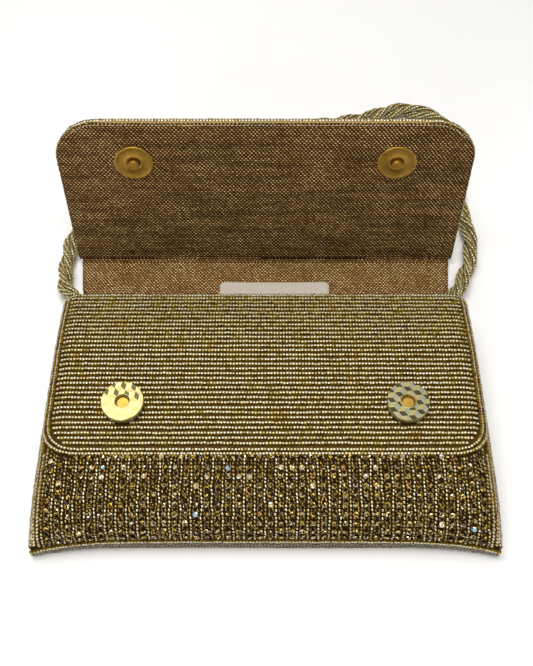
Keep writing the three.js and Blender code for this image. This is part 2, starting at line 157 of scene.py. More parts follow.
# ------------------------------------------------------------------ materials
def principled(name, color, roughness, metallic=0.0, coat=0.0, coat_roughness=0.03, ior=1.5):
    material = bpy.data.materials.new(name)
    material.use_nodes = True
    values = {"Base Color": (*color, 1), "Roughness": roughness, "Metallic": metallic, "IOR": ior,
              "Coat Weight": coat, "Coat Roughness": coat_roughness, "Coat IOR": 1.8}
    for socket, value in values.items():
        material.node_tree.nodes["Principled BSDF"].inputs[socket].default_value = value
    return material


class Glass:
    """Silver-lined glass: amber walls, and along the bead's crown a pale stripe, partly the silvered lining
    and partly a painted highlight.
    """

    def __init__(self, name, walls, core_highlights, wall_shares, core_highlight_shares):
        self.materials = [principled(f"{name}_wall_{i}", color, 0.32, ior=1.25)
                          for i, color in enumerate(walls)]
        # the crown colours: silvered lining with a painted highlight
        self.materials += [principled(f"{name}_core_{i}", color, 0.28, 0.35, coat=0.6, coat_roughness=0.12)
                           for i, color in enumerate(core_highlights)]
        self.wall_shares = wall_shares
        self.core_highlight_shares = core_highlight_shares

    def pick(self, zones, count):
        """A material index for every face of count beads. zones marks the crown faces, which take the painted
        highlight.
        """
        wall = rng.choice(len(self.wall_shares), count, p=self.wall_shares)
        core_highlight = rng.choice(len(self.core_highlight_shares), count, p=self.core_highlight_shares) + len(self.wall_shares)
        return np.where(zones[None] == 1, core_highlight[:, None], wall[:, None]).ravel()


class Nodes:
    """A short way to wire a material's node tree."""

    def __init__(self, material):
        self.tree = material.node_tree
        self.shader = self.tree.nodes["Principled BSDF"]

    def add(self, kind, **settings):
        node = self.tree.nodes.new(kind)
        for key, value in settings.items():
            setattr(node, key, value)
        return node

    def link(self, source, target):
        self.tree.links.new(source, target)

    def math(self, operation, a, b=0.0, clamp=False):
        node = self.add("ShaderNodeMath", operation=operation, use_clamp=clamp)
        for socket, value in zip(node.inputs, (a, b)):
            if isinstance(value, (int, float)):
                socket.default_value = value
            else:
                self.link(value, socket)
        return node.outputs[0]
    def times(self, a, b, clamp=False):
        return self.math("MULTIPLY", a, b, clamp)

    def ramp(self, value, stops):
        node = self.add("ShaderNodeValToRGB")
        elements = node.color_ramp.elements
        while len(elements) < len(stops):
            elements.new(0.5)
        for element, (position, color) in zip(elements, stops):
            element.position = position
            element.color = (*color, 1)
        self.link(value, node.inputs[0])
        return node.outputs[0]

    def mix(self, factor, a, b, blend="MIX"):
        node = self.add("ShaderNodeMix", data_type="RGBA", blend_type=blend)
        for socket, value in ((node.inputs["Factor"], factor), (node.inputs[6], a), (node.inputs[7], b)):
            if isinstance(value, (int, float)):
                socket.default_value = value
            elif isinstance(value, tuple):
                socket.default_value = (*value, 1)
            else:
                self.link(value, socket)
        return node.outputs[2]

    def noise(self, vector, scale, detail=2.0):
        node = self.add("ShaderNodeTexNoise")
        node.inputs["Scale"].default_value = scale
        node.inputs["Detail"].default_value = detail
        self.link(vector, node.inputs["Vector"])
        return node.outputs[0]

    def bump(self, height, distance, strength=1.0):
        node = self.add("ShaderNodeBump")
        node.inputs["Distance"].default_value = distance
        node.inputs["Strength"].default_value = strength
        self.link(height, node.inputs["Height"])
        self.link(node.outputs[0], self.shader.inputs["Normal"])


def fleck_rows(n, uv, across, along):
    """The flecks of a coarse weave, in rows that are shifted in turn, and a random value for each."""
    split = n.add("ShaderNodeSeparateXYZ")
    n.link(uv, split.inputs[0])
    drift = n.times(n.math("SUBTRACT", n.noise(uv, 0.35, 3), 0.5), 1.2)
    x = n.math("ADD", split.outputs[0], drift)
    y = n.math("DIVIDE", n.math("ADD", split.outputs[1], n.times(drift, 0.4)), along)
    row = n.math("FLOOR", y)
    shift = n.times(n.math("MODULO", row, 2.0), 0.5)
    column = n.math("ADD", n.math("DIVIDE", x, across), shift)
    u = n.times(n.math("SUBTRACT", n.math("FRACT", column), 0.5), 2.0)
    v = n.times(n.math("SUBTRACT", n.math("FRACT", y), 0.5), 2.0)
    far_u = n.math("POWER", n.math("ABSOLUTE", n.math("ADD", u, n.times(v, 0.28))), 2.2)
    far_v = n.math("POWER", n.math("ABSOLUTE", v), 2.6)
    far = n.math("ADD", n.times(far_u, 3.0), n.times(far_v, 2.1))
    cell = n.add("ShaderNodeCombineXYZ")
    n.link(n.math("FLOOR", column), cell.inputs[0])
    n.link(row, cell.inputs[1])
    chance = n.add("ShaderNodeTexWhiteNoise", noise_dimensions="2D")
    n.link(cell.outputs[0], chance.inputs["Vector"])
    return n.math("SUBTRACT", 1.0, far, True), chance.outputs[0]


def woven(name, dark, mid, light, fleck_amount=1.0, slub=0.0, across=2.3, along=0.95):
    """Coarse cloth: light flecks on a dark ground. Its UV map is in millimetres.

    across and along are the flecks' spacings. slub is how much darker the uneven bands of yarn are.
    """
    material = principled(name, mid, 0.85, ior=1.2)
    n = Nodes(material)
    uv = n.add("ShaderNodeUVMap", uv_map="cloth").outputs[0]
    fleck, chance = fleck_rows(n, uv, across, along)
    bright = n.math("ADD", n.times(chance, 0.75), 0.35)
    patches = n.ramp(n.noise(uv, 0.06, 3), [(0.3, (0.55,) * 3), (0.7, (1.15,) * 3)])
    fiber = n.noise(uv, 5.0, 3)
    ground = n.mix(n.times(fiber, 0.9), dark, mid)
    if slub:
        squeezed = n.add("ShaderNodeMapping")
        squeezed.inputs["Scale"].default_value = (0.02, 0.28, 1)
        n.link(uv, squeezed.inputs[0])
        bands = n.ramp(n.noise(squeezed.outputs[0], 1.0, 4), [(0.38, (1 - slub,) * 3), (0.6, (1,) * 3)])
        ground = n.mix(1.0, ground, bands, "MULTIPLY")
        bright = n.times(bright, bands)
    amount = n.times(n.times(fleck, bright), fleck_amount)
    n.link(n.mix(n.times(amount, patches, True), ground, light), n.shader.inputs["Base Color"])
    n.bump(n.math("ADD", fleck, n.times(fiber, 0.4)), 0.0004, 0.8)
    return material


def worn_metal(name, color, dark, roughness):
    """Plated metal with darker stains and a fine unevenness."""
    material = principled(name, color, roughness, 0.8)
    n = Nodes(material)
    place = n.add("ShaderNodeTexCoord").outputs["Object"]
    stain = n.ramp(n.noise(place, 420, 5), [(0.35, (0,) * 3), (0.75, (1,) * 3)])
    n.link(n.mix(n.times(stain, 0.55), color, dark), n.shader.inputs["Base Color"])
    n.bump(n.noise(place, 1500, 3), 0.00003, 0.4)
    return material


def plain_cloth(name, color, light, scale=900):
    """Plain fibre or board, mottled between two tones."""
    material = principled(name, color, 0.8, ior=1.2)
    n = Nodes(material)
    grain = n.noise(n.add("ShaderNodeTexCoord").outputs["Object"], scale, 4)
    n.link(n.mix(grain, color, light), n.shader.inputs["Base Color"])
    n.bump(grain, 0.0002, 0.6)
    return material


# Each Glass: wall colours, then crown colours that are partly the silvered lining and partly a painted
# highlight, then the shares of each.
GOLD = Glass("gold", [(0.145, 0.077, 0.001), (0.21, 0.122, 0.003), (0.08, 0.04, 0.001)],
             [(0.68, 0.62, 0.38), (0.74, 0.71, 0.5), (0.55, 0.44, 0.18), (0.36, 0.26, 0.06)],
             [0.55, 0.25, 0.2], [0.5, 0.3, 0.14, 0.06])
# the bottom band's lower rows, painted dark olive as shade on the band's underside
OLIVE_PAINTED_SHADE = Glass("olive_painted_shade", [(0.05, 0.035, 0.008), (0.08, 0.055, 0.013)],
              [(0.09, 0.068, 0.022), (0.16, 0.13, 0.05)], [0.6, 0.4], [0.6, 0.4])
# the filler beads: near-black walls, partly amber glass and partly painted shade between the stones
AMBER_IN_SHADE = Glass("amber", [(0.02, 0.009, 0.0002), (0.055, 0.026, 0.0006)],
              [(0.15, 0.08, 0.002), (0.5, 0.33, 0.05)], [0.6, 0.4], [0.75, 0.25])
STRAW = Glass("straw", [(0.1, 0.058, 0.003), (0.16, 0.1, 0.01)],
              [(0.72, 0.67, 0.44), (0.85, 0.82, 0.64), (0.42, 0.31, 0.08), (0.2, 0.13, 0.02)],
              [0.6, 0.4], [0.42, 0.13, 0.27, 0.18])
PALE = Glass("pale", [(0.14, 0.09, 0.01), (0.2, 0.14, 0.03)],
             [(0.72, 0.67, 0.44), (0.82, 0.79, 0.6), (0.5, 0.42, 0.18)], [0.5, 0.5], [0.5, 0.35, 0.15])
ROPE = Glass("rope", [(0.25, 0.18, 0.04), (0.38, 0.3, 0.1)],
             [(0.82, 0.78, 0.52), (0.95, 0.93, 0.74), (0.5, 0.4, 0.15)], [0.55, 0.45], [0.5, 0.35, 0.15])
# stone_dark is the stones' own glass; the other four are painted glints on single facets, the last a blue
# one.
STONES = [principled("stone_dark", (0.028, 0.012, 0.0005), 0.15, 0.0, ior=1.3),
          principled("stone_gold_glint", (0.66, 0.4, 0.03), 0.15, 0.3),
          principled("stone_cream_glint", (0.75, 0.62, 0.36), 0.12, 0.5, coat=0.5),
          principled("stone_white_glint", (0.95, 0.93, 0.86), 0.1, 0.3, coat=1.0),
          principled("stone_ice_glint", (0.4, 0.65, 0.8), 0.1, 0.4, coat=1.0)]
GROUND = plain_cloth("bead_ground", (0.05, 0.024, 0.002), (0.1, 0.052, 0.006))
# a darker copy of the bead ground: painted shade on the lower front, between the stones
LOW_GROUND_PAINTED_SHADE = plain_cloth("low_ground_painted_shade", (0.012, 0.005, 0.0003), (0.035, 0.016, 0.001))
THREAD = plain_cloth("dark_thread", (0.03, 0.018, 0.006), (0.08, 0.05, 0.02))
GOLD_THREAD = plain_cloth("gold_thread", (0.12, 0.08, 0.02), (0.2, 0.14, 0.04))
STITCH = plain_cloth("pale_stitch", (0.45, 0.38, 0.22), (0.62, 0.56, 0.38))
PIPING = plain_cloth("gold_piping", (0.42, 0.28, 0.09), (0.56, 0.41, 0.18), 2500)
BOARD = plain_cloth("board", (0.5, 0.42, 0.3), (0.6, 0.52, 0.4), 300)
FLAP_CLOTH = woven("flap_weave", (0.022, 0.007, 0.0), (0.125, 0.045, 0.001), (1.0, 0.7, 0.31),
                   1.2, 0.4, across=1.75, along=1.05)
SPINE_CLOTH = woven("spine_weave", (0.04, 0.012, 0.0003), (0.22, 0.09, 0.006), (1.0, 0.76, 0.4),
                    1.35, across=1.7, along=1.0)
POUCH_CLOTH = woven("pouch_weave", (0.04, 0.02, 0.007), (0.13, 0.065, 0.025), (0.55, 0.38, 0.2), 0.9)
PALE_BRASS = worn_metal("pale_brass", (0.45, 0.385, 0.155), (0.42, 0.36, 0.13), 0.32)
# dark and blue-grey copies of the brass: painted shade and a painted reflection for the cap's rhombs
SHADE_BRASS = worn_metal("shade_brass", (0.085, 0.073, 0.03), (0.05, 0.04, 0.015), 0.32)
COOL_REFLECTION_BRASS = worn_metal("cool_reflection_brass", (0.19, 0.2, 0.15), (0.12, 0.125, 0.09), 0.32)
ANTIQUE_BRASS = worn_metal("antique_brass", (0.5, 0.29, 0.05), (0.24, 0.12, 0.018), 0.34)
# one brass in lit and shaded copies: painted light on the left pole, painted shade on the right
POLE_BRASS = {"left": worn_metal("pole_brass_painted_lit", (0.85, 0.66, 0.24), (0.6, 0.42, 0.12), 0.3),
              "right": worn_metal("pole_brass_painted_shade", (0.42, 0.35, 0.2), (0.2, 0.16, 0.08), 0.45)}
STEEL = worn_metal("plated_steel", (0.5, 0.5, 0.48), (0.3, 0.29, 0.27), 0.35)
CARD = plain_cloth("card", (0.56, 0.5, 0.42), (0.6, 0.54, 0.46), 1800)


# ------------------------------------------------------------------ lines and mesh making
def unit(vectors):
    """Vectors made one long."""
    return vectors / np.linalg.norm(vectors, axis=-1, keepdims=True)


def distance_along(points):
    """How far along a line of points each one lies."""
    steps = np.linalg.norm(np.diff(points, axis=0), axis=1)
    return np.concatenate([[0], np.cumsum(steps)])


def at_distance(values, length, where):
    """What the rows of values, given at each length, come to at the places in where."""
    return np.stack([np.interp(where, length, column) for column in values.T], -1)


def ring_faces(rings, sides):
    """Quads between rings of vertices that follow one another."""
    i = np.arange(rings - 1)[:, None] * sides
    j = np.arange(sides)[None]
    k = (j + 1) % sides
    return np.stack([i + j, i + k, i + sides + k, i + sides + j], -1).reshape(-1, 4)


def mesh_object(name, verts, faces, materials, body=None, smooth=True, uv=None, indices=None):
    """A mesh from vertices in millimetres. faces is an array of quads or a list of polygons."""
    mesh = bpy.data.meshes.new(name)
    verts = np.asarray(verts, dtype=np.float64) * MM
    if isinstance(faces, np.ndarray):
        count, size = faces.shape
        mesh.vertices.add(len(verts))
        mesh.vertices.foreach_set("co", verts.astype(np.float32).ravel())
        mesh.loops.add(count * size)
        mesh.loops.foreach_set("vertex_index", faces.astype(np.int32).ravel())
        mesh.polygons.add(count)
        mesh.polygons.foreach_set("loop_start", np.arange(0, count * size, size, dtype=np.int32))
    else:
        mesh.from_pydata(verts.tolist(), [], faces)
    mesh.update(calc_edges=True)
    mesh.validate()
    for material in materials:
        mesh.materials.append(material)
    if indices is not None:
        mesh.polygons.foreach_set("material_index", np.asarray(indices, dtype=np.int32))
    mesh.polygons.foreach_set("use_smooth", np.full(len(mesh.polygons), smooth))
    if uv is not None:
        layer = mesh.uv_layers.new(name="cloth")
        loop_verts = np.empty(len(mesh.loops), dtype=np.int32)
        mesh.loops.foreach_get("vertex_index", loop_verts)
        layer.data.foreach_set("uv", np.asarray(uv, dtype=np.float32)[loop_verts].ravel())
    piece = bpy.data.objects.new(name, mesh)
    bpy.context.scene.collection.objects.link(piece)
    if body:
        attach(piece, body)
    return piece


def sheet(name, top, bottom, material, body=None, uv=None):
    """A closed sheet between two grids of points, each rows x columns x 3."""
    rows, columns = top.shape[:2]
    size = rows * columns
    grid = np.arange(size).reshape(rows, columns)
    quad = np.stack([grid[:-1, :-1], grid[:-1, 1:], grid[1:, 1:], grid[1:, :-1]], -1).reshape(-1, 4)
    loop = np.concatenate([grid[0, :-1], grid[:-1, -1], grid[-1, :0:-1], grid[:0:-1, 0]])
    after = np.roll(loop, -1)
    walls = np.stack([after, loop, loop + size, after + size], -1)
    faces = np.concatenate([quad, quad[:, ::-1] + size, walls])
    verts = np.concatenate([top.reshape(-1, 3), bottom.reshape(-1, 3)])
    both = None if uv is None else np.concatenate([uv.reshape(-1, 2)] * 2)
    return mesh_object(name, verts, faces, [material], body, uv=both)


def cloth_sheet(name, grid, top_at, under_at, material, body):
    """A sheet between two levels of a grid, which gives points and a UV map for the values it gets."""
    top, uv = grid(*top_at)
    under, _ = grid(*under_at)
    return sheet(name, top, under, material, body, uv)


def bead_template(sides):
    """A rounded ring-shaped bead one unit long and wide, its hole along X, its crown along Z.

    Gives its vertices, its faces and a mark for each face: 1 on the crown, where the painted highlight goes,
    0 elsewhere.
    """
    crown = CROWN_DEGREES[sides]
    angle = np.radians(np.concatenate([[90 - crown], np.linspace(90 + crown, 450 - crown, sides)[:-1]]))
    verts = [[x, r * math.cos(a), r * math.sin(a)] for x, r in BEAD_RINGS for a in angle]
    zones = np.zeros((len(BEAD_RINGS) - 1) * sides, dtype=int)
    zones[sides] = 1
    return np.array(verts), ring_faces(len(BEAD_RINGS), sides)[:, ::-1], zones


def scatter(name, template, centres, axes, ups, sizes, materials, indices, body, smooth=True):
    """Copies of a template at each centre, X along axes and Z along ups, scaled by sizes."""
    base, faces = template[:2]
    axes = unit(axes)
    sides = unit(np.cross(ups, axes))
    ups = np.cross(axes, sides)
    local = base[None] * sizes[:, None]
    verts = (centres[:, None] + local[..., :1] * axes[:, None] + local[..., 1:2] * sides[:, None]
             + local[..., 2:] * ups[:, None])
    all_faces = faces[None] + (np.arange(len(centres)) * len(base))[:, None, None]
    return mesh_object(name, verts.reshape(-1, 3), all_faces.reshape(-1, faces.shape[1]), materials, body,
                       smooth, indices=indices)


class Beads:
    """Strings of beads gathered into one piece."""

    def __init__(self):
        self.centres, self.axes, self.ups = [], [], []

    def string(self, points, ups, pitch, slant=0.0):
        """Beads end to end along a line of closely spaced points, turned by slant about the normal.

        ups holds a normal for each point, or one for them all.
        """
        length = distance_along(points)
        count = max(1, int(round(length[-1] / pitch)))
        at = (np.arange(count) + 0.5) * length[-1] / count
        axis = unit(at_distance(points, length, at + 0.3) - at_distance(points, length, at - 0.3))
        up = at_distance(np.broadcast_to(ups, points.shape), length, at)
        if slant:
            axis = axis * math.cos(slant) + np.cross(up, axis) * math.sin(slant)
        self.centres.append(at_distance(points, length, at))
        self.axes.append(axis)
        self.ups.append(up)
        return self

    def piece(self, name, glass, body, length=BEAD_PITCH, diameter=BEAD, sides=8, wobble=0.05):
        """All the strung beads as one mesh. glass is a Glass or one plain material."""
        centres, axes, ups = (np.concatenate(parts) for parts in (self.centres, self.axes, self.ups))
        count = len(centres)
        centres = centres + rng.normal(0, wobble, (count, 3))
        axes = axes + rng.normal(0, 0.06, (count, 3))
        width = diameter * rng.normal(1, 0.035, count)
        long = length * rng.normal(0.97, 0.04, count)
        sizes = np.stack([long, width, width], -1)
        template = bead_template(sides)
        materials, indices = [glass], None
        if isinstance(glass, Glass):
            materials, indices = glass.materials, glass.pick(template[2], count)
        return scatter(name, template, centres, axes, ups, sizes, materials, indices, body)


def piece_pair(fields, name, body, **settings):
    """Two sets of neighbouring gold rows, each a piece of its own."""
    for field, letter in zip(fields, "ab"):
        field.piece(f"{name}_{letter}", GOLD, body, **settings)


# ------------------------------------------------------------------ the pouch's front surface
def shoulder(distance, length):
    """How far a rounded shoulder has risen, from 0 at its foot to 1 at length."""
    t = np.clip(distance / length, 0, 1)
    return (1 - (1 - t) ** SHOULDER_POWER) ** (1 / SHOULDER_POWER)


def half_width(y):
    t = np.clip((y - BOTTOM_Y) / DEPTH, 0, 1)
    return (BOTTOM_WIDTH + (MOUTH_WIDTH - BOTTOM_WIDTH) * t) / 2


def bottom_edge(u):
    return BOTTOM_Y - CORNER_REACH * np.abs(u) ** 6


def crown(y):
    from_bottom = y - BOTTOM_Y
    towards_bottom = np.clip((CREST_FROM_BOTTOM - from_bottom) / CREST_FROM_BOTTOM, 0, 2) ** 1.35
    towards_mouth = np.clip((from_bottom - CREST_FROM_BOTTOM) / (DEPTH - CREST_FROM_BOTTOM), 0, 2) ** 2
    return CREST - CREST_DROP_BOTTOM * towards_bottom - CREST_DROP_MOUTH * towards_mouth


def smooth(t):
    t = np.clip(t, 0, 1)
    return t * t * (3 - 2 * t)


def rim_height(u, y):
    corner = np.abs(u) ** 6 * (1 - smooth((y - BOTTOM_Y) / BOTTOM_SHOULDER))
    return RIM + (CORNER_RIM - RIM) * corner


def front(x, y, inset=0.0, rim=None):
    """Points of the front's surface, pushed in by inset, at x across and y along."""
    x, y = np.broadcast_arrays(np.asarray(x, float), np.asarray(y, float))
    half = half_width(y) - inset
    u = np.clip(x / half, -1, 1)
    base = rim_height(u, y) if rim is None else rim
    side = shoulder((1 - np.abs(u)) * half, SIDE_SHOULDER)
    end = shoulder(y - bottom_edge(u) - inset, BOTTOM_SHOULDER)
    z = base + (crown(y) - inset - base) * side * end
    return np.stack([x, y, z], -1)


def front_normals(points):
    step = 0.35
    x, y = points[..., 0], points[..., 1]
    limit = half_width(y) - 0.05
    xs = np.clip(np.stack([x - step, x + step]), -limit, limit)
    along_x = front(xs[1], y) - front(xs[0], y)
    along_y = front(x, y + step) - front(x, np.maximum(y - step, bottom_edge(x / half_width(y))))
    return unit(np.cross(along_x, along_y))


def on_front(line, lift):
    """A line of (x, y) places laid on the front, lifted along the surface's normal."""
    points = front(line[:, 0], line[:, 1])
    normals = front_normals(points)
    return points + normals * lift, normals


def row_places(start, stop, pitch):
    """Places along Y whose spacing over the curved middle of the front is even."""
    y = np.linspace(BOTTOM_Y + 0.3, MOUTH_Y, 1500)
    length = distance_along(front(0 * y, y))
    low, high = np.interp([start, stop], y, length)
    count = int(round((high - low) / pitch))
    return np.interp(low + (np.arange(count) + 0.5) * (high - low) / count, length, y)


def wavy(count, size):
    """A gentle seeded wander for a hand-sewn row."""
    t = np.linspace(0, 1, count)
    wander = np.zeros(count)
    for k in range(1, 7):
        height = rng.normal(0, 1) / k
        wander += height * np.sin(2 * math.pi * (k * t * rng.uniform(1, 3) + rng.uniform()))
    return size * wander


def frame_of_rows(y):
    """How far the horizontal rows reach to each side at y, inside the outline's two bead lines."""
    half = half_width(y) - BORDER_INSET - 1.5
    round_off = np.clip((BORDER_Y + BORDER_CORNER - y) / BORDER_CORNER, 0, 1)
    return half - BORDER_CORNER * 0.72 * round_off ** 2.4


def snap_clear(line):
    """Splits a line where a snap's cap covers it."""
    away = np.hypot(np.abs(line[:, 0]) - SNAP_X, line[:, 1] - SOCKET_Y) > SNAP_RADIUS - 0.6
    breaks = np.flatnonzero(np.diff(away.astype(int))) + 1
    runs = zip(np.split(line, breaks), np.split(away, breaks))
    return [run for run, keep in runs if keep[0] and len(run) > 4]


def upper_rows():
    fields = [Beads(), Beads()]
    for index, y in enumerate(row_places(BORDER_Y + 1.6, MOUTH_Y - 1.9, ROW_PITCH)):
        reach = frame_of_rows(y)
        x = np.linspace(-reach, reach, 500)
        line = np.stack([x, y + wavy(len(x), 0.09)], -1)
        for run in snap_clear(line):
            fields[index % 2].string(*on_front(run, -BEAD / 2), BEAD_PITCH)
    piece_pair(fields, "front_rows", "pouch")


def rounded_outline(inset):
    """The flap's outline on the front, as (x, y) places, inset from the sides."""
    wider = BORDER_INSET - inset
    low = BORDER_Y - wider * 0.9
    radius = BORDER_CORNER + wider
    top_half = half_width(MOUTH_Y) - inset
    low_half = half_width(low) - inset
    turn = low + radius
    t = np.linspace(0, 1, 60)[:, None]
    side = np.array([[low_half, turn]]) + (1 - t) * np.array([[top_half - low_half, MOUTH_Y - 2 - turn]])
    corner = (1 - t) ** 2 * [low_half, turn] + 2 * t * (1 - t) * [low_half, low]
    corner = corner + t ** 2 * [low_half - radius, low]
    right = np.concatenate([side, corner[1:]])
    across = np.stack([np.linspace(low_half - radius, radius - low_half, 300), np.full(300, low)], -1)
    return np.concatenate([right, across[1:-1], right[::-1] * [-1, 1]])


def border_rows():
    beads = Beads()
    for inset in (BORDER_INSET, BORDER_INSET - BORDER_GAP):
        beads.string(*on_front(rounded_outline(inset), -BEAD / 2 + 0.15), BEAD_PITCH)
    border = beads.piece("border_rows", GOLD, "pouch")
    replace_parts(border, "front_border")


def lower_line(x_top):
    """A line down the lower front from the outline to the rim, x_top across at the outline's level."""
    outline = rounded_outline(BORDER_INSET - BORDER_GAP)
    right = outline[(outline[:, 0] > 0) & (outline[:, 1] < BORDER_Y + BORDER_CORNER)]
    right = right[np.argsort(right[:, 0])]
    start = np.interp(abs(x_top), right[:, 0], right[:, 1]) - 1.7
    share = x_top / half_width(BORDER_Y)
    end = bottom_edge(share) + 0.02
    y = end + (start - end) * np.linspace(1, 0, 300) ** 2
    return np.stack([share * half_width(y), y], -1)


def column_count():
    """How many columns of the lower front fit on each side of its middle."""
    return int((half_width(BORDER_Y) - 4.2) / COLUMN_PITCH)


def lower_columns():
    half = half_width(BORDER_Y)
    reach = column_count()
    beads = [Beads(), Beads()]
    stones = Beads()
    for k in range(-reach, reach + 1):
        line = lower_line(k * COLUMN_PITCH)
        line[:, 0] += wavy(len(line), 0.2)
        beads[k % 2].string(*on_front(line, -BEAD / 2), COLUMN_BEAD_PITCH, slant=0.3)
        if k < reach:
            line = lower_line((k + 0.5) * COLUMN_PITCH)
            line = line[line[:, 1] < line[0, 1] - 2.2]
            stones.string(*on_front(line, -1.0), CRYSTAL_PITCH)
    row = np.stack([np.linspace(-half + 18, half - 18, 400), np.full(400, BORDER_Y - 2.9)], -1)
    stones.string(*on_front(row, -1.0), 2.7)
    for field, name in zip(beads, ("lower_columns_a", "lower_columns_b")):
        field.piece(name, STRAW, "pouch", 1.25, 1.28)
    stone_field(stones)
    filler_beads()


def filler_beads():
    """Small beads that fill the ground between the stones, darkened partly by their amber glass and partly by
    painted shade.
    """
    reach = column_count()
    beads = Beads()
    for k in range(-reach, reach):
        for offset in (0.3, 0.7):
            line = lower_line((k + offset) * COLUMN_PITCH)
            line[:, 0] += wavy(len(line), 0.15)
            beads.string(*on_front(line, -BEADED), SLANTED_PITCH, slant=0.4)
    beads.piece("lower_filler", AMBER_IN_SHADE, "pouch", 1.4, 1.15, sides=6, wobble=0.15)


def stone_template():
    """A round stone: girdle, two rings of facets and a flat table, one unit wide, standing on z = 0."""
    sides = 8
    rings = [(0.5, 0.0, 0.0), (0.5, 0.16, 0.0), (0.42, 0.3, 0.5), (0.24, 0.42, 0.0)]
    verts = []
    for radius, height, turn in rings:
        angle = (np.arange(sides) + turn) * 2 * math.pi / sides
        verts += [[radius * math.cos(a), radius * math.sin(a), height] for a in angle]
    verts.append([0, 0, 0.34])
    walls = ring_faces(len(rings), sides)[:, [[0, 1, 3], [1, 2, 3]]].reshape(-1, 3)
    last = 3 * sides
    table = [[last + j, last + (j + 1) % sides, last + sides] for j in range(sides)]
    zones = np.concatenate([np.repeat(np.arange(3), 2 * sides), np.full(sides, 3)])
    return np.array(verts), np.concatenate([walls, table]), zones


def stone_field(stones):
    """Faceted stones: dark glass with a ring of painted glints. Those painted lit all over lie mostly in one
    band.
    """
    centres, axes, ups = (np.concatenate(parts) for parts in (stones.centres, stones.axes, stones.ups))
    count = len(centres)
    ups = ups + rng.normal(0, 0.16, (count, 3))
    axes = axes + rng.normal(0, 0.5, (count, 3))
    sizes = np.stack([CRYSTAL * rng.normal(1, 0.05, count)] * 2 + [np.full(count, CRYSTAL)], -1)
    template = stone_template()
    zones = template[2]
    shape = (count, len(zones))
    glint = rng.random(shape) < np.array([0.0, 0.34, 0.48, 0.14])[zones]
    kind = np.where(glint, rng.choice([1, 2, 3], shape, p=[0.62, 0.26, 0.12]), 0)
    height = (centres[:, 1] - BOTTOM_Y) / (BORDER_Y - BOTTOM_Y)
    # a band of stones painted as lit up all over, a painted pool of light
    lit = rng.random(count) < 0.04 + 0.2 * np.exp(-((height - 0.72) / 0.16) ** 2)
    lit_faces = lit[:, None] & (rng.random(shape) < 0.75) & (zones > 0)
    kind = np.where(lit_faces, rng.choice([1, 2, 3], shape), kind)
    # a few stones get a painted blue glint on their upper facets
    ice_glint = rng.random(count) < 0.008
    kind = np.where(ice_glint[:, None] & (zones > 1), 4, kind)
    return scatter("front_crystals", template, centres, axes, ups, sizes, STONES, kind.ravel(), "pouch",
                   smooth=False)


def shoulder_foot(level):
    """The share of a shoulder's length at which it has risen to a level from 0 to 1."""
    return 1 - (1 - level ** SHOULDER_POWER) ** (1 / SHOULDER_POWER)


def side_columns():
    """Slanted bead columns that bind each side of the front."""
    beads = Beads()
    for side in (-1, 1):
        for inset, top in ((5.2, BORDER_Y - 1), (3.4, BORDER_Y + 12), (1.7, MOUTH_Y - 2)):
            y = np.linspace(BOTTOM_Y - CORNER_REACH + 1.2, top, 500)
            line = np.stack([side * (half_width(y) - inset), y], -1)
            beads.string(*on_front(line, -BEAD / 2), SLANTED_PITCH, slant=side * 0.5)
    low, high = BOTTOM_Y - 2.0, MOUTH_Y - 1.2
    for side in (-1, 1):
        for level in np.append((np.arange(7) + 0.5) * 0.086, 0.7):
            y = low + (high - low) * np.linspace(0, 1, 500) ** 1.5
            x = side * (half_width(y) - SIDE_SHOULDER * shoulder_foot(level))
            beads.string(*on_front(np.stack([x, y], -1), -BEAD / 2), BEAD_PITCH)
    beads.piece("side_columns", GOLD, "pouch", 1.6, 1.6)


def front_grid(inset, rim=None, columns=121, rows=90):
    """A grid of points over the whole front, pushed in by inset, and its UV map in millimetres."""
    s = np.linspace(-0.5, 0.5, columns)
    u = np.sin(s * math.pi)[None]
    t = np.linspace(0, 1, rows)[:, None]
    low = bottom_edge(u) + inset
    y = low + (MOUTH_Y - 1.9 - low) * t ** 1.7
    x = u * (half_width(y) - inset)
    grid = front(x, y, inset, rim)
    return grid, np.stack([grid[..., 0], grid[..., 1]], -1)


def front_skins():
    cloth = cloth_sheet("front_ground", front_grid, (1.15,), (BEADED,), GROUND, "pouch")
    # the ground below the outline takes the darker copy, painted shade between the stones
    cloth.data.materials.append(LOW_GROUND_PAINTED_SHADE)
    for face in cloth.data.polygons:
        face.material_index = int(face.center.y < (BORDER_Y - 1) * MM)
    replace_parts(cloth, "front_panel")
    inset = BEADED + 0.9 + 0.7 + 1.4
    rim = STACK + 0.3
    lining = cloth_sheet("front_inner_cloth", front_grid, (inset, rim), (inset + LINING, rim),
                         POUCH_CLOTH, "pouch")
    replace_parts(lining, "front_lining")


def mouth_rows():
    """The bead row along the mouth edge, with the dark oversewing behind it."""
    reach = half_width(MOUTH_Y) - 0.8
    x = np.linspace(-reach, reach, 900)
    points = front(x, 0 * x + MOUTH_Y)
    normals = front_normals(points)
    beads = Beads().string(points + normals * (-BEAD / 2) + [0, -0.95, 0], normals, BEAD_PITCH)
    row = beads.piece("mouth_rows", PALE, "pouch")
    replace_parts(row, "mouth_beading")
    loops = Beads().string(points + normals * (-1.1) + [0, -0.1, 0], normals, BEAD_PITCH)
    loops.piece("mouth_oversewing", THREAD, "pouch", 0.85, 1.5, sides=6)
    inner = front(x, 0 * x + MOUTH_Y, 2.4)
    hem = Beads().string(inner + [0, -1.2, 0], normals, 1.9)
    hem.piece("mouth_hem", THREAD, "pouch", 1.95, 3.2, sides=6, wobble=0.0)


# ------------------------------------------------------------------ sides, bottom and back of the pouch
def side_rim(y):
    """The height of the front's edge along the pouch's sides."""
    return rim_height(1.0, y)


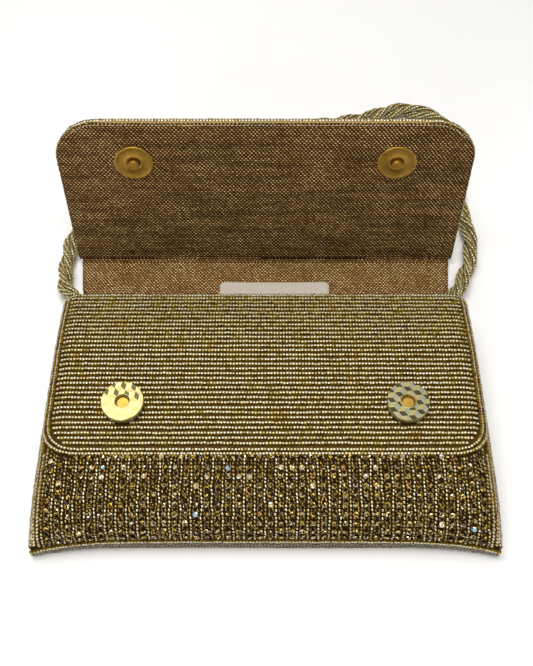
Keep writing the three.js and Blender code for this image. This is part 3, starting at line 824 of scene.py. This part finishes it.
def edge_line(side, z, inset=0.95):
    """A line along one side wall of the pouch, at the heights that z gives, and its normal."""
    y = np.linspace(BOTTOM_Y - CORNER_REACH + 2.2, MOUTH_Y - 0.5, 400)
    x = side * (half_width(y) - inset)
    return np.stack([x, y, z(y)], -1), np.array([side, 0, 0.0])


def gusset_rows():
    beads, seams = Beads(), Beads()
    for side in (-1, 1):
        for share in (0.14, 0.5, 0.86):
            points, normal = edge_line(side, lambda y: 1.9 + share * (side_rim(y) - 4.0))
            beads.string(points, normal, BEAD_PITCH)
        points, normal = edge_line(side, lambda y: side_rim(y) - 1.0)
        seams.string(points, normal + [0, 0, 0.4], SLANTED_PITCH, slant=0.6)
    ends = (lambda y: 0 * y + 1.5, lambda y: side_rim(y) - 0.3)
    for side, name in SIDES:
        outer, inner = (np.stack([edge_line(side, z, inset)[0] for z in ends])[::-side]
                        for inset in (1.1, 1.5))
        wall = sheet(f"gusset_ground_{name}", outer, inner, GROUND, "pouch", outer[..., 1:])
        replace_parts(wall, f"gusset_{name}", f"side_edging_{name}")
    beads.piece("gusset_rows", GOLD, "pouch")
    seams.piece("seam_rows", GOLD, "pouch", 1.6, 1.8)


def bottom_rows():
    u = np.sin(np.linspace(-0.497, 0.497, 900) * math.pi)
    edge = bottom_edge(u)
    rim = rim_height(u, edge)
    light, dark = Beads(), Beads()
    # the top row is gold; the rows below take the dark olive glass, painted shade on the band's underside
    for share, field in ((1.0, light), (0.72, dark), (0.44, dark), (0.16, dark)):
        tuck = 0.5 * (1 - share)
        points = np.stack([u * (half_width(edge) - 0.6), edge + 0.7 + tuck, 1.2 + share * (rim - 1.9)], -1)
        field.string(points, [0, -1.0, 0.25], BEAD_PITCH)
    light.piece("bottom_row_light", GOLD, "pouch")
    dark.piece("bottom_rows_dark", OLIVE_PAINTED_SHADE, "pouch")
    x = u * (half_width(edge) - 0.9)
    outer, inner = (np.stack([np.stack([x, edge + inset, z], -1) for z in (0 * x + 1.4, rim - 0.2)])
                    for inset in (0.9, 1.4))
    band = sheet("bottom_ground", outer, inner, GROUND, "pouch", outer[..., ::2])
    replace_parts(band, "bottom_band")


def back_grid(inset, z):
    u = np.sin(np.linspace(-0.5, 0.5, 61) * math.pi)[None]
    t = np.linspace(0, 1, 40)[:, None]
    low = bottom_edge(u) + inset
    y = low + (CREASE_1[1] - 0.3 - low) * t
    neck = smooth((y - MOUTH_Y + 1.2) / 3.0)
    half = (half_width(y) - inset) * (1 - neck) + 80.0 * neck
    grid = np.stack([u * half, y, 0 * u * y + z], -1)
    return grid, grid[..., :2]


def back_pieces():
    cloth = cloth_sheet("back_ground", back_grid, (0.9, 1.4), (0.9, 1.0), GROUND, "pouch")
    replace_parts(cloth, "back_panel")
    fields = [Beads(), Beads()]
    for index, y in enumerate(np.arange(BOTTOM_Y + 1.2, CREASE_1[1] - 3.2, ROW_PITCH)):
        reach = half_width(y) - 1.2
        x = np.linspace(-reach, reach, 300)
        points = np.stack([x, y + wavy(len(x), 0.06), 0 * x + BEAD / 2], -1)
        fields[index % 2].string(points, [0, 0, -1.0], BEAD_PITCH)
    piece_pair(fields, "back_rows", "pouch", sides=6, wobble=0.03)
    corner_rows().piece("back_corner_rows", GOLD, "pouch", sides=6, wobble=0.03)
    lining = cloth_sheet("back_inner_cloth", back_grid, (3.6, STACK), (3.6, STACK - LINING),
                         POUCH_CLOTH, "pouch")
    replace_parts(lining, "back_lining")


def corner_rows():
    """Short rows in the back's two pulled-out bottom corners, below the last straight row."""
    beads = Beads()
    y = BOTTOM_Y - 0.9
    start = ((0.9 + BEAD / 2) / CORNER_REACH) ** (1 / 6) * half_width(y)
    for side in (-1, 1):
        x = side * np.linspace(start + 0.3, half_width(y) - 1.2, 40)
        points = np.stack([x, 0 * x + y, 0 * x + BEAD / 2], -1)
        beads.string(points, [0, 0, -1.0], BEAD_PITCH)
    return beads


# ------------------------------------------------------------------ spine and flap
def spine_half(s):
    flare = smooth((s - SPINE_NECK) / (SPINE_FLARE_END - SPINE_NECK))
    widening = np.clip((s - SPINE_FLARE_END) / (SPINE_LENGTH - SPINE_FLARE_END), 0, 1)
    return (SPINE_NECK_WIDTH + SPINE_FLARE * flare + SPINE_WIDENING * widening) / 2


def spine_grid(inset, z, low, high, rows=24):
    u = np.linspace(-1, 1, 61)[None]
    s = np.linspace(low, high, rows)[:, None]
    grid = np.stack([u * (spine_half(s) - inset), CREASE_1[1] + s + 0 * u, z + 0 * u * s], -1)
    return grid, np.stack([grid[..., 0], s + 0 * u], -1)


def spine_pieces():
    ends = (0.6, SPINE_LENGTH - 0.6)
    cloth = cloth_sheet("spine_ground", spine_grid, (0.3, 1.9, *ends), (0.3, 1.3, *ends), GROUND, "spine")
    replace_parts(cloth, "spine_panel")
    beads = Beads()
    for s in np.arange(2.9, SPINE_LENGTH - 1.6, ROW_PITCH):
        reach = spine_half(s) - 0.4
        x = np.linspace(-reach, reach, 300)
        points = np.stack([x, CREASE_1[1] + s + wavy(len(x), 0.06), 0 * x + BEAD / 2], -1)
        beads.string(points, [0, 0, -1.0], BEAD_PITCH)
    beads.piece("spine_rows", GOLD, "spine", sides=6, wobble=0.03)
    top, uv = spine_grid(0.6, STACK, *ends)
    sag = 0.25
    along = (top[..., 1] - CREASE_1[1]) / SPINE_LENGTH
    top[..., 2] += sag * np.sin(top[..., 0] / 9) * np.sin(along * math.pi) - sag
    under, _ = spine_grid(0.6, STACK - LINING - 0.3, *ends)
    lining = sheet("spine_cloth", top, under, SPINE_CLOTH, "spine", uv)
    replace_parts(lining, "spine_lining")
    ticket_piece()


def ticket_piece():
    """The blank card, with two rounded corners and a slight curl."""
    low, high = corners("ticket")
    u = np.linspace(-1, 1, 41)[None]
    t = np.linspace(0, 1, 17)[:, None]
    y = low[1] + (high[1] - low[1]) * t
    corner = 2.4
    round_off = np.clip((y - (high[1] - corner)) / corner, 0, 1)
    half = (high[0] - low[0]) / 2 - corner * (1 - np.sqrt(np.clip(1 - round_off ** 2, 0, 1)))
    x = (low[0] + high[0]) / 2 + u * half
    curl = 0.5 * u ** 4 * t
    top = np.stack([x, y + 0 * u, high[2] + curl], -1)
    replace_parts(sheet("blank_ticket", top, top - [0, 0, 0.35], CARD, "spine", top[..., :2]), "ticket")


def flap_point(x, s, n):
    """A place on the flap: x across, s from crease two, n off the lining face, towards the pouch."""
    x, s, n = np.broadcast_arrays(np.asarray(x, float), np.asarray(s, float), np.asarray(n, float))
    base = np.stack([x, 0 * x + CREASE_2[1], 0 * x + CREASE_2[2]], -1)
    return base + s[..., None] * FLAP_ALONG + n[..., None] * FLAP_OUT


def flap_half(s, inset):
    taper = FLAP_FOLD_HALF + (FLAP_FREE_HALF - FLAP_FOLD_HALF) * s / (FLAP_LENGTH - FLAP_CORNER)
    half = np.minimum(taper, FLAP_FREE_HALF) - inset
    radius = FLAP_CORNER - inset
    over = np.clip(s - (FLAP_LENGTH - FLAP_CORNER), 0, radius)
    return half - radius + np.sqrt(np.clip(radius ** 2 - over ** 2, 0, None))


def flap_grid(inset, n, sag=0.0, low=0.4, columns=91, rows=70):
    t = np.linspace(0, 1, rows)[:, None]
    s = low + (FLAP_LENGTH - inset - low) * np.sin(t * math.pi / 2)
    u = np.linspace(-1, 1, columns)[None]
    x = u * flap_half(s, inset)
    s = s + 0 * u
    waves = np.sin(s / 5.3 + 0.4 * np.sin(x / 31)) * np.sin(x / 17 + s / 23)
    ripple = sag * (waves * np.sin(t * math.pi) - 1)
    return flap_point(x, s, n + ripple), np.stack([x, s], -1)


def flap_outline(inset, count=260):
    """(x, s) places round the flap from the left end of the fold to the right."""
    radius = FLAP_CORNER - inset
    angle = np.linspace(0, math.pi / 2, 60)
    free_half, free_end = FLAP_FREE_HALF - inset, FLAP_LENGTH - inset
    corner = np.stack([free_half + radius * (np.cos(angle) - 1), free_end + radius * (np.sin(angle) - 1)], -1)
    side = np.linspace([FLAP_FOLD_HALF - inset, 1.0], [free_half, free_end - radius], 80)
    right = np.concatenate([side[:-1], corner])
    across = np.stack([np.linspace(right[-1, 0], -right[-1, 0], count), np.full(count, free_end)], -1)
    return np.concatenate([right, across[1:-1], right[::-1] * [-1, 1]])[::-1]


def flap_pieces():
    lining = cloth_sheet("flap_cloth", flap_grid, (0.75, 0.0, 0.15), (0.75, -0.42), FLAP_CLOTH, "flap")
    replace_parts(lining, "flap_lining")
    ground = cloth_sheet("flap_ground", flap_grid, (1.2, -1.5), (1.2, -2.2), GROUND, "flap")
    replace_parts(ground, "flap_panel")
    fields = [Beads(), Beads()]
    for index, s in enumerate(np.arange(2.4, FLAP_LENGTH - 3.4, ROW_PITCH)):
        reach = flap_half(s, 3.6)
        x = np.linspace(-reach, reach, 400)
        points = flap_point(x, s + wavy(len(x), 0.08), -STACK + BEAD / 2)
        fields[index % 2].string(points, -FLAP_OUT, BEAD_PITCH)
    piece_pair(fields, "flap_rows", "flap")
    flap_edges()


def near_corner(line):
    """0 along the middle of the flap's outline, 1 at its rounded corners and sides."""
    return smooth((np.abs(line[:, 0]) - 66) / 14)


def flap_edges():
    """Three bead rows round the flap, the piping along its lining and the hem's stitches."""
    beads = Beads()
    for inset, n, lean in ((0.8, -1.75, 0.5), (1.1, -2.7, -0.9), (2.8, -STACK + 0.8, -3.0)):
        line = flap_outline(inset)
        run = unit(np.gradient(line, axis=0))
        outward = -run[:, 1:] * [1.0, 0, 0] + run[:, :1] * FLAP_ALONG
        depth = n + 0.4 * (n + 3.0) * near_corner(line)
        beads.string(flap_point(line[:, 0], line[:, 1], depth), outward + lean * FLAP_OUT, 1.42)
    edge = beads.piece("flap_edge_rows", PALE, "flap", 1.3, 1.55)
    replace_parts(edge, "flap_edge_beading")
    line = flap_outline(0.75)
    points = flap_point(line[:, 0], line[:, 1], -0.62 - 0.5 * near_corner(line))
    cord = tube("flap_piping_cord", points, 0.36, PIPING, "flap")
    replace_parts(cord, "flap_piping")
    line = flap_outline(1.9)
    line = line[line[:, 1] > FLAP_LENGTH - 9]
    points = flap_point(line[:, 0], line[:, 1], 0.05)
    stitches = Beads().string(points, FLAP_OUT, 1.7, slant=0.5)
    stitches.piece("flap_hem_stitches", STITCH, "flap", 0.95, 0.5, sides=6, wobble=0.06)


def tube(name, points, radius, material, body=None, sides=10):
    """A closed tube along a line of points."""
    tangent = unit(np.gradient(points, axis=0))
    side = unit(np.cross(tangent, [0.3, 0.2, 0.93]))
    up = np.cross(side, tangent)
    angle = np.arange(sides) * 2 * math.pi / sides
    ring = np.cos(angle)[None, :, None] * side[:, None] + np.sin(angle)[None, :, None] * up[:, None]
    verts = (points[:, None] + radius * ring).reshape(-1, 3)
    faces = ring_faces(len(points), sides)[:, ::-1].tolist()
    faces.append(list(range(sides)))
    faces.append(list(range(len(verts) - sides, len(verts)))[::-1])
    return mesh_object(name, verts, faces, [material], body)


# ------------------------------------------------------------------ cloth and beads over the creases
def crease_pieces():
    lining_strip("crease_1_cloth", CREASE_1, 79.3, 0.0)
    lining_strip("crease_2_cloth", CREASE_2, 92.2, FLAP_ANGLE)
    bead_fold("crease_1_rows", CREASE_1, 79.5, 0.0)
    bead_fold("crease_2_rows", CREASE_2, 92.6, FLAP_ANGLE)


def fold_profile(crease, offset, turn, reach):
    """(y, z) places from reach before a crease to reach after it, offset from its axis on the outer side."""
    before = [(-reach, -offset), (-reach / 2, -offset)]
    angles = np.linspace(0, turn, 9) - math.pi / 2
    arc = [(offset * math.cos(a), offset * math.sin(a)) for a in angles]
    after = [(arc[-1][0] + d * math.cos(turn), arc[-1][1] + d * math.sin(turn)) for d in (reach / 2, reach)]
    return np.array(before + arc + after) + crease[1:]


def bend(piece):
    """Bakes a piece's placement into its mesh; it is tied to no body."""
    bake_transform(piece)


def fold_grids(crease, offsets, turn, reach, half, columns):
    """Grids of points that wrap a crease at each distance from its axis."""
    x = np.linspace(-1, 1, columns) * half
    profiles = [fold_profile(crease, offset, turn, reach) for offset in offsets]
    return [np.stack([np.stack([x, 0 * x + y, 0 * x + z], -1) for y, z in profile]) for profile in profiles]


def lining_strip(name, crease, half, turn):
    top, under = fold_grids(crease, (0.15, 0.9), turn, 1.4, half, 61)
    run = distance_along(fold_profile(crease, 0.15, turn, 1.4))[:, None]
    uv = np.stack([top[..., 0], run + 0 * top[..., 0]], -1)
    strip = sheet(name, top, under, FLAP_CLOTH, None, uv)
    bend(strip)


def bead_fold(name, crease, half, turn):
    profile = fold_profile(crease, STACK - BEAD / 2, turn, 2.0)
    run = distance_along(profile)
    count = 1 + int(round(run[-1] / 2.0))
    beads = Beads()
    x = np.linspace(-half, half, 300)
    for y, z in at_distance(profile, run, np.linspace(0, run[-1], count)):
        away = np.array([0, y - crease[1], z - crease[2]])
        beads.string(np.stack([x, 0 * x + y, 0 * x + z], -1), away, BEAD_PITCH)
    rows = beads.piece(name, GOLD, None, sides=6, wobble=0.03)
    bend(rows)
    top, under = fold_grids(crease, (1.3, 1.9), turn, 2.6, half, 41)
    ground = sheet(name.replace("rows", "ground"), top, under, GROUND, None, top[..., :2])
    bend(ground)


# ------------------------------------------------------------------ snaps
def lathe(name, profile, material, place, body, segments=64):
    """A turned piece: profile points (radius, height), closed on itself or ending on the axis."""
    angle = np.arange(segments) * 2 * math.pi / segments
    local = np.array([[r * math.cos(a), r * math.sin(a), h] for r, h in profile for a in angle])
    radii = np.array([r for r, _ in profile])
    along_axis = (radii == 0) & (np.roll(radii, -1) == 0)
    faces = ring_faces(len(profile) + 1, segments) % len(local)
    faces = faces[np.repeat(~along_axis, segments)].tolist()
    piece = mesh_object(name, place(local), faces, [material], body)
    weld = piece.modifiers.new("weld", "WELD")
    weld.merge_threshold = 0.000002
    return piece


def socket_place(side):
    """Puts points of a socket's own frame on the front."""
    along = np.array([0, math.cos(SOCKET_TILT), math.sin(SOCKET_TILT)])
    up = np.array([0, -math.sin(SOCKET_TILT), math.cos(SOCKET_TILT)])
    centre = middle("snap_socket_cap_right") - SOCKET_HEIGHT / 2 * up
    centre[0] = side * SNAP_X
    return lambda p: centre + p[:, :1] * [1.0, 0, 0] + p[:, 1:2] * along + p[:, 2:] * up


def stud_place(side):
    """Puts points of a stud's own frame on the flap."""
    s = (middle("snap_stud_right") - CREASE_2) @ FLAP_ALONG
    return lambda p: flap_point(side * SNAP_X + p[:, 0], s + p[:, 1], p[:, 2])


def facet_tones(side, centres):
    """Which brass each rhomb shows, by its lean: painted shade and a painted cool reflection on two of the
    right cap's leans. The left cap is pale but for a few rhombs in painted shade.
    """
    lean = np.arange(len(centres)) % 3
    if side > 0:
        return np.where(lean == 0, 1, np.where(lean == 1, 2, 0))
    shaded = (lean == 1) & (centres[:, 1] > 1.5) & (centres[:, 1] < 9.0)
    return np.where(shaded, 1, 0)


def rhomb_field(side, turn, cell=2.55):
    """Rhombs pressed into a flat sheet so that they lean three ways: vertices, four to a rhomb."""
    relief = 0.05 if side < 0 else 0.13
    rise = [SOCKET_HEIGHT - relief, SOCKET_HEIGHT - 2 * relief, SOCKET_HEIGHT]
    spin = complex(math.cos(turn), math.sin(turn))
    verts = []
    for i in range(-6, 7):
        for j in range(-6, 7):
            centre = complex(1.5 * cell * i, math.sqrt(3) * cell * (j + 0.5 * (i % 2)))
            tips = [centre + cell * complex(math.cos(a), math.sin(a)) for a in np.arange(6) * math.pi / 3]
            for k in (0, 2, 4):
                ring = [(centre, 2), (tips[k], 0), (tips[k + 1], 1), (tips[(k + 2) % 6], 0)]
                verts += [[(point * spin).real, (point * spin).imag, rise[level]] for point, level in ring]
    return np.array(verts)


def faceted_top(side, name, place, turn, radius=8.75):
    """The cap's top, pressed into rhombs and cut to a ring."""
    verts = rhomb_field(side, turn)
    faces = np.arange(len(verts)).reshape(-1, 4).tolist()
    rhombs = mesh_object(name, verts, faces, [PALE_BRASS, SHADE_BRASS, COOL_REFLECTION_BRASS], smooth=False,
                         indices=facet_tones(side, verts[::4]))
    weld = rhombs.modifiers.new("weld", "WELD")
    weld.merge_threshold = 0.00002
    solid = rhombs.modifiers.new("solid", "SOLIDIFY")
    solid.thickness = 0.0009
    solid.offset = -1
    inner, low, high = SOCKET_HOLE + 0.35, SOCKET_HEIGHT - 0.5, SOCKET_HEIGHT + 1
    ring = [(radius, high), (radius, low), (inner, low), (inner, high)]
    cutter = lathe(name + "_cutter", ring, PALE_BRASS, lambda p: p, None, 48)
    cut = rhombs.modifiers.new("cut", "BOOLEAN")
    cut.operation = "INTERSECT"
    cut.solver = "EXACT"
    cut.object = cutter
    mesh = baked(rhombs, place)
    bpy.data.objects.remove(cutter)
    piece = bpy.data.objects.new(name, mesh)
    bpy.context.scene.collection.objects.link(piece)
    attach(piece, "pouch")
    return piece


def baked(piece, place):
    """The mesh of a piece with its modifiers carried out, put in its place. The piece itself is removed."""
    depsgraph = bpy.context.evaluated_depsgraph_get()
    mesh = bpy.data.meshes.new_from_object(piece.evaluated_get(depsgraph))
    bpy.data.objects.remove(piece)
    local = np.empty(len(mesh.vertices) * 3)
    mesh.vertices.foreach_get("co", local)
    mesh.vertices.foreach_set("co", (place(local.reshape(-1, 3) / MM) * MM).ravel())
    mesh.polygons.foreach_set("use_smooth", np.full(len(mesh.polygons), False))
    mesh.update()
    return mesh


def socket_pieces(side, name):
    place = socket_place(side)
    top = faceted_top(side, f"socket_facets_{name}", place, CAP_TURN[name])
    r, h = SNAP_RADIUS, SOCKET_HEIGHT
    rim = [(r - 0.5, 0), (r, 0), (r, h - 0.75), (r - 0.06, h - 0.5), (r - 0.2, h - 0.34),
           (r - 0.45, h - 0.24), (r - 0.8, h - 0.4), (r - 0.8, h - 0.8), (r - 0.5, h - 0.9)]
    lathe(f"socket_rim_{name}", rim, PALE_BRASS, place, "pouch")
    r = SOCKET_HOLE
    collar = [(r + 0.4, 0.9), (r + 0.6, h - 0.6), (r + 0.55, h - 0.1), (r + 0.3, h), (r + 0.12, h - 0.06),
              (r, h - 0.2), (r, 0.9)]
    lathe(f"socket_collar_{name}", collar, PALE_BRASS, place, "pouch")
    r = POLE_RADIUS
    pole = [(0, 0.2), (r + 0.4, 0.2), (r + 0.4, 0.7), (r, 0.86), (0, 0.9)]
    lathe(f"socket_pole_top_{name}", pole, POLE_BRASS[name], place, "pouch", 40)
    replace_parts(top, f"snap_socket_cap_{name}")


def stud_pieces(side, name):
    place = stud_place(side)
    r, hole = SNAP_RADIUS, STUD_RADIUS + 0.1
    plate = [(hole, 0.15), (r - 0.1, 0.15), (r, 0.3), (r, 0.55), (r - 0.12, 0.75), (r - 0.4, 0.84),
             (r - 0.9, 0.8), (r - 1.2, 0.72), (4.4, 0.72), (4.1, 0.8), (3.7, 0.84), (3.1, 0.8), (2.9, 0.62),
             (hole, 0.62)]
    disc = lathe(f"stud_disc_{name}", plate, ANTIQUE_BRASS, place, "flap")
    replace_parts(disc, f"snap_stud_plate_{name}")
    r, h = STUD_RADIUS, 3.0
    pin = [(0, 0.2), (r, 0.2), (r, h - 0.26), (r - 0.05, h - 0.12), (r - 0.16, h - 0.03), (r - 0.3, h),
           (r - 0.5, h), (0, h)]
    post = lathe(f"stud_post_{name}", pin, ANTIQUE_BRASS, place, "flap", 40)
    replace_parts(post, f"snap_stud_{name}")


# ------------------------------------------------------------------ strap
PLY_RADIUS = 2.15
PLY_LAY = 46
STRAND_RADIUS = 1.25
STRAND_LAY = 70


def smooth_route(points, per_span=24):
    """A smooth curve through the route's points."""
    p = np.array(points, float)
    p = np.concatenate([[2 * p[0] - p[1]], p, [2 * p[-1] - p[-2]]])
    t = np.linspace(0, 1, per_span, endpoint=False)[:, None]
    spans = [0.5 * (2 * b + (c - a) * t + (2 * a - 5 * b + 4 * c - d) * t ** 2
                    + (3 * b - a - 3 * c + d) * t ** 3)
             for a, b, c, d in zip(p[:-3], p[1:-2], p[2:-1], p[3:])]
    return np.concatenate(spans + [p[-2:-1]])


def strap_piece():
    """Three plies of five bead strings each, laid up loosely into a rope."""
    path = smooth_route(STRAP_ROUTE)
    length = distance_along(path)
    even = np.linspace(0, length[-1], 1500)
    path = at_distance(path, length, even)
    tangent = unit(np.gradient(path, axis=0))
    side = unit(np.cross(tangent, [0, 0, 1.0]))
    up = np.cross(side, tangent)
    ring = lambda angle: np.cos(angle)[:, None] * side + np.sin(angle)[:, None] * up
    beads, threads = Beads(), []
    for ply in range(3):
        lay = 2 * math.pi * (even / PLY_LAY + ply / 3)
        centre = path + PLY_RADIUS * ring(lay)
        for strand in range(5):
            twist = lay + 2 * math.pi * (even / STRAND_LAY + strand / 5)
            beads.string(centre + STRAND_RADIUS * ring(twist), ring(twist), 1.45)
        threads.append(tube(f"strap_thread_{ply}", centre[::6], 0.8, GOLD_THREAD, "pouch", sides=6))
    rope = beads.piece("strap_rope", ROPE, "pouch", 1.32, 1.3, sides=6, wobble=0.06)
    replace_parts(rope, "strap")


def strap_tabs():
    """The sewn tabs that hold the strap's ends, hidden in the pouch."""
    u = np.linspace(-1, 1, 17)[None]
    t = np.linspace(0, 1, 13)[:, None]
    for _, name in SIDES:
        low, high = corners(f"strap_tab_{name}")
        x = (low[0] + high[0]) / 2 + u * (high[0] - low[0]) / 2
        y = low[1] + (high[1] - low[1]) * t
        height = low[2] + (high[2] - low[2]) * (1 - 0.35 * np.abs(u) ** 3) * (0.45 + 0.55 * t)
        top = np.stack([x + 0 * t, y + 0 * u, height], -1)
        under = np.stack([x + 0 * t, y + 0 * u, 0 * height + low[2]], -1)
        tab = sheet(f"strap_tab_cloth_{name}", top, under, POUCH_CLOTH, "pouch", top[..., :2])
        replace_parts(tab, f"strap_tab_{name}")


# ------------------------------------------------------------------ studio
# name, place, target, size and power of each lamp, and its colour
LAMPS = [
    ("overhead", (-0.05, -0.05, 0.9), (0, 0, 0), (0.8, 0.45), 7.6, (1.0, 0.98, 0.95)),
    ("rear_card", (0.0, 0.5, 0.85), (0, 0, 0), (0.9, 0.5), 1.3, (1.0, 0.99, 0.96)),
    ("front_fill", (-0.35, -0.95, 0.45), (0, 0, 0.03), (0.6, 0.6), 3.2, (1.0, 0.98, 0.95)),
]
SKY_COLOR = (0.95, 0.97, 1.0, 1)
SKY_STRENGTH = 0.2
FLOOR_HALF = 4000
FLOOR_Z = -0.3

SENSOR_WIDTH = 36
LENS = 48.65
SHIFT_X = 0.0017
CAMERA_TARGET = Vector((0, 0.0263, 0))
CAMERA_ELEVATION = math.radians(57.4)
CAMERA_DISTANCE = 0.436


def area_light(name, place, target, size, power, color):
    data = bpy.data.lights.new(name, "AREA")
    data.shape = "RECTANGLE"
    data.size, data.size_y = size
    data.energy = power
    data.color = color
    light = bpy.data.objects.new(name, data)
    light.location = place
    light.rotation_euler = (Vector(target) - Vector(place)).to_track_quat("-Z", "Y").to_euler()
    bpy.context.scene.collection.objects.link(light)


def studio():
    corners_xy = [(-1, -1), (1, -1), (1, 1), (-1, 1)]
    verts = [[x * FLOOR_HALF, y * FLOOR_HALF, FLOOR_Z] for x, y in corners_xy]
    white = principled("floor", (0.97, 0.97, 0.97), 0.8)
    floor = mesh_object("floor", verts, np.array([[0, 1, 2, 3]]), [white], smooth=False)
    world = bpy.data.worlds.new("studio")
    world.use_nodes = True
    background = world.node_tree.nodes["Background"]
    background.inputs[0].default_value = SKY_COLOR
    background.inputs[1].default_value = SKY_STRENGTH
    bpy.context.scene.world = world
    for lamp in LAMPS:
        area_light(*lamp)
    bpy.context.scene.view_settings.view_transform = "Standard"


def camera():
    data = bpy.data.cameras.new("camera")
    data.sensor_width = SENSOR_WIDTH
    data.lens = LENS
    data.shift_x = SHIFT_X
    data.clip_start = 0.01
    view = bpy.data.objects.new("camera", data)
    way = Vector((0, -math.cos(CAMERA_ELEVATION), math.sin(CAMERA_ELEVATION)))
    view.location = CAMERA_TARGET + CAMERA_DISTANCE * way
    view.rotation_euler = (CAMERA_TARGET - view.location).to_track_quat("-Z", "Y").to_euler()
    bpy.context.scene.collection.objects.link(view)
    bpy.context.scene.camera = view


def carried_over():
    """Materials for the CAD nodes that still show."""
    looks = {"stiffener": BOARD, "magnet": STEEL, "washer": STEEL,
             "socket_base": ANTIQUE_BRASS, "socket_pole": ANTIQUE_BRASS}
    for node, piece in frame["nodes"].items():
        for word, material in looks.items():
            if word in node:
                for slot in piece.material_slots:
                    slot.material = material


camera()
studio()
strap_piece()
strap_tabs()
front_skins()
upper_rows()
border_rows()
lower_columns()
side_columns()
mouth_rows()
gusset_rows()
bottom_rows()
back_pieces()
spine_pieces()
flap_pieces()
crease_pieces()
for side, name in SIDES:
    socket_pieces(side, name)
    stud_pieces(side, name)
carried_over()
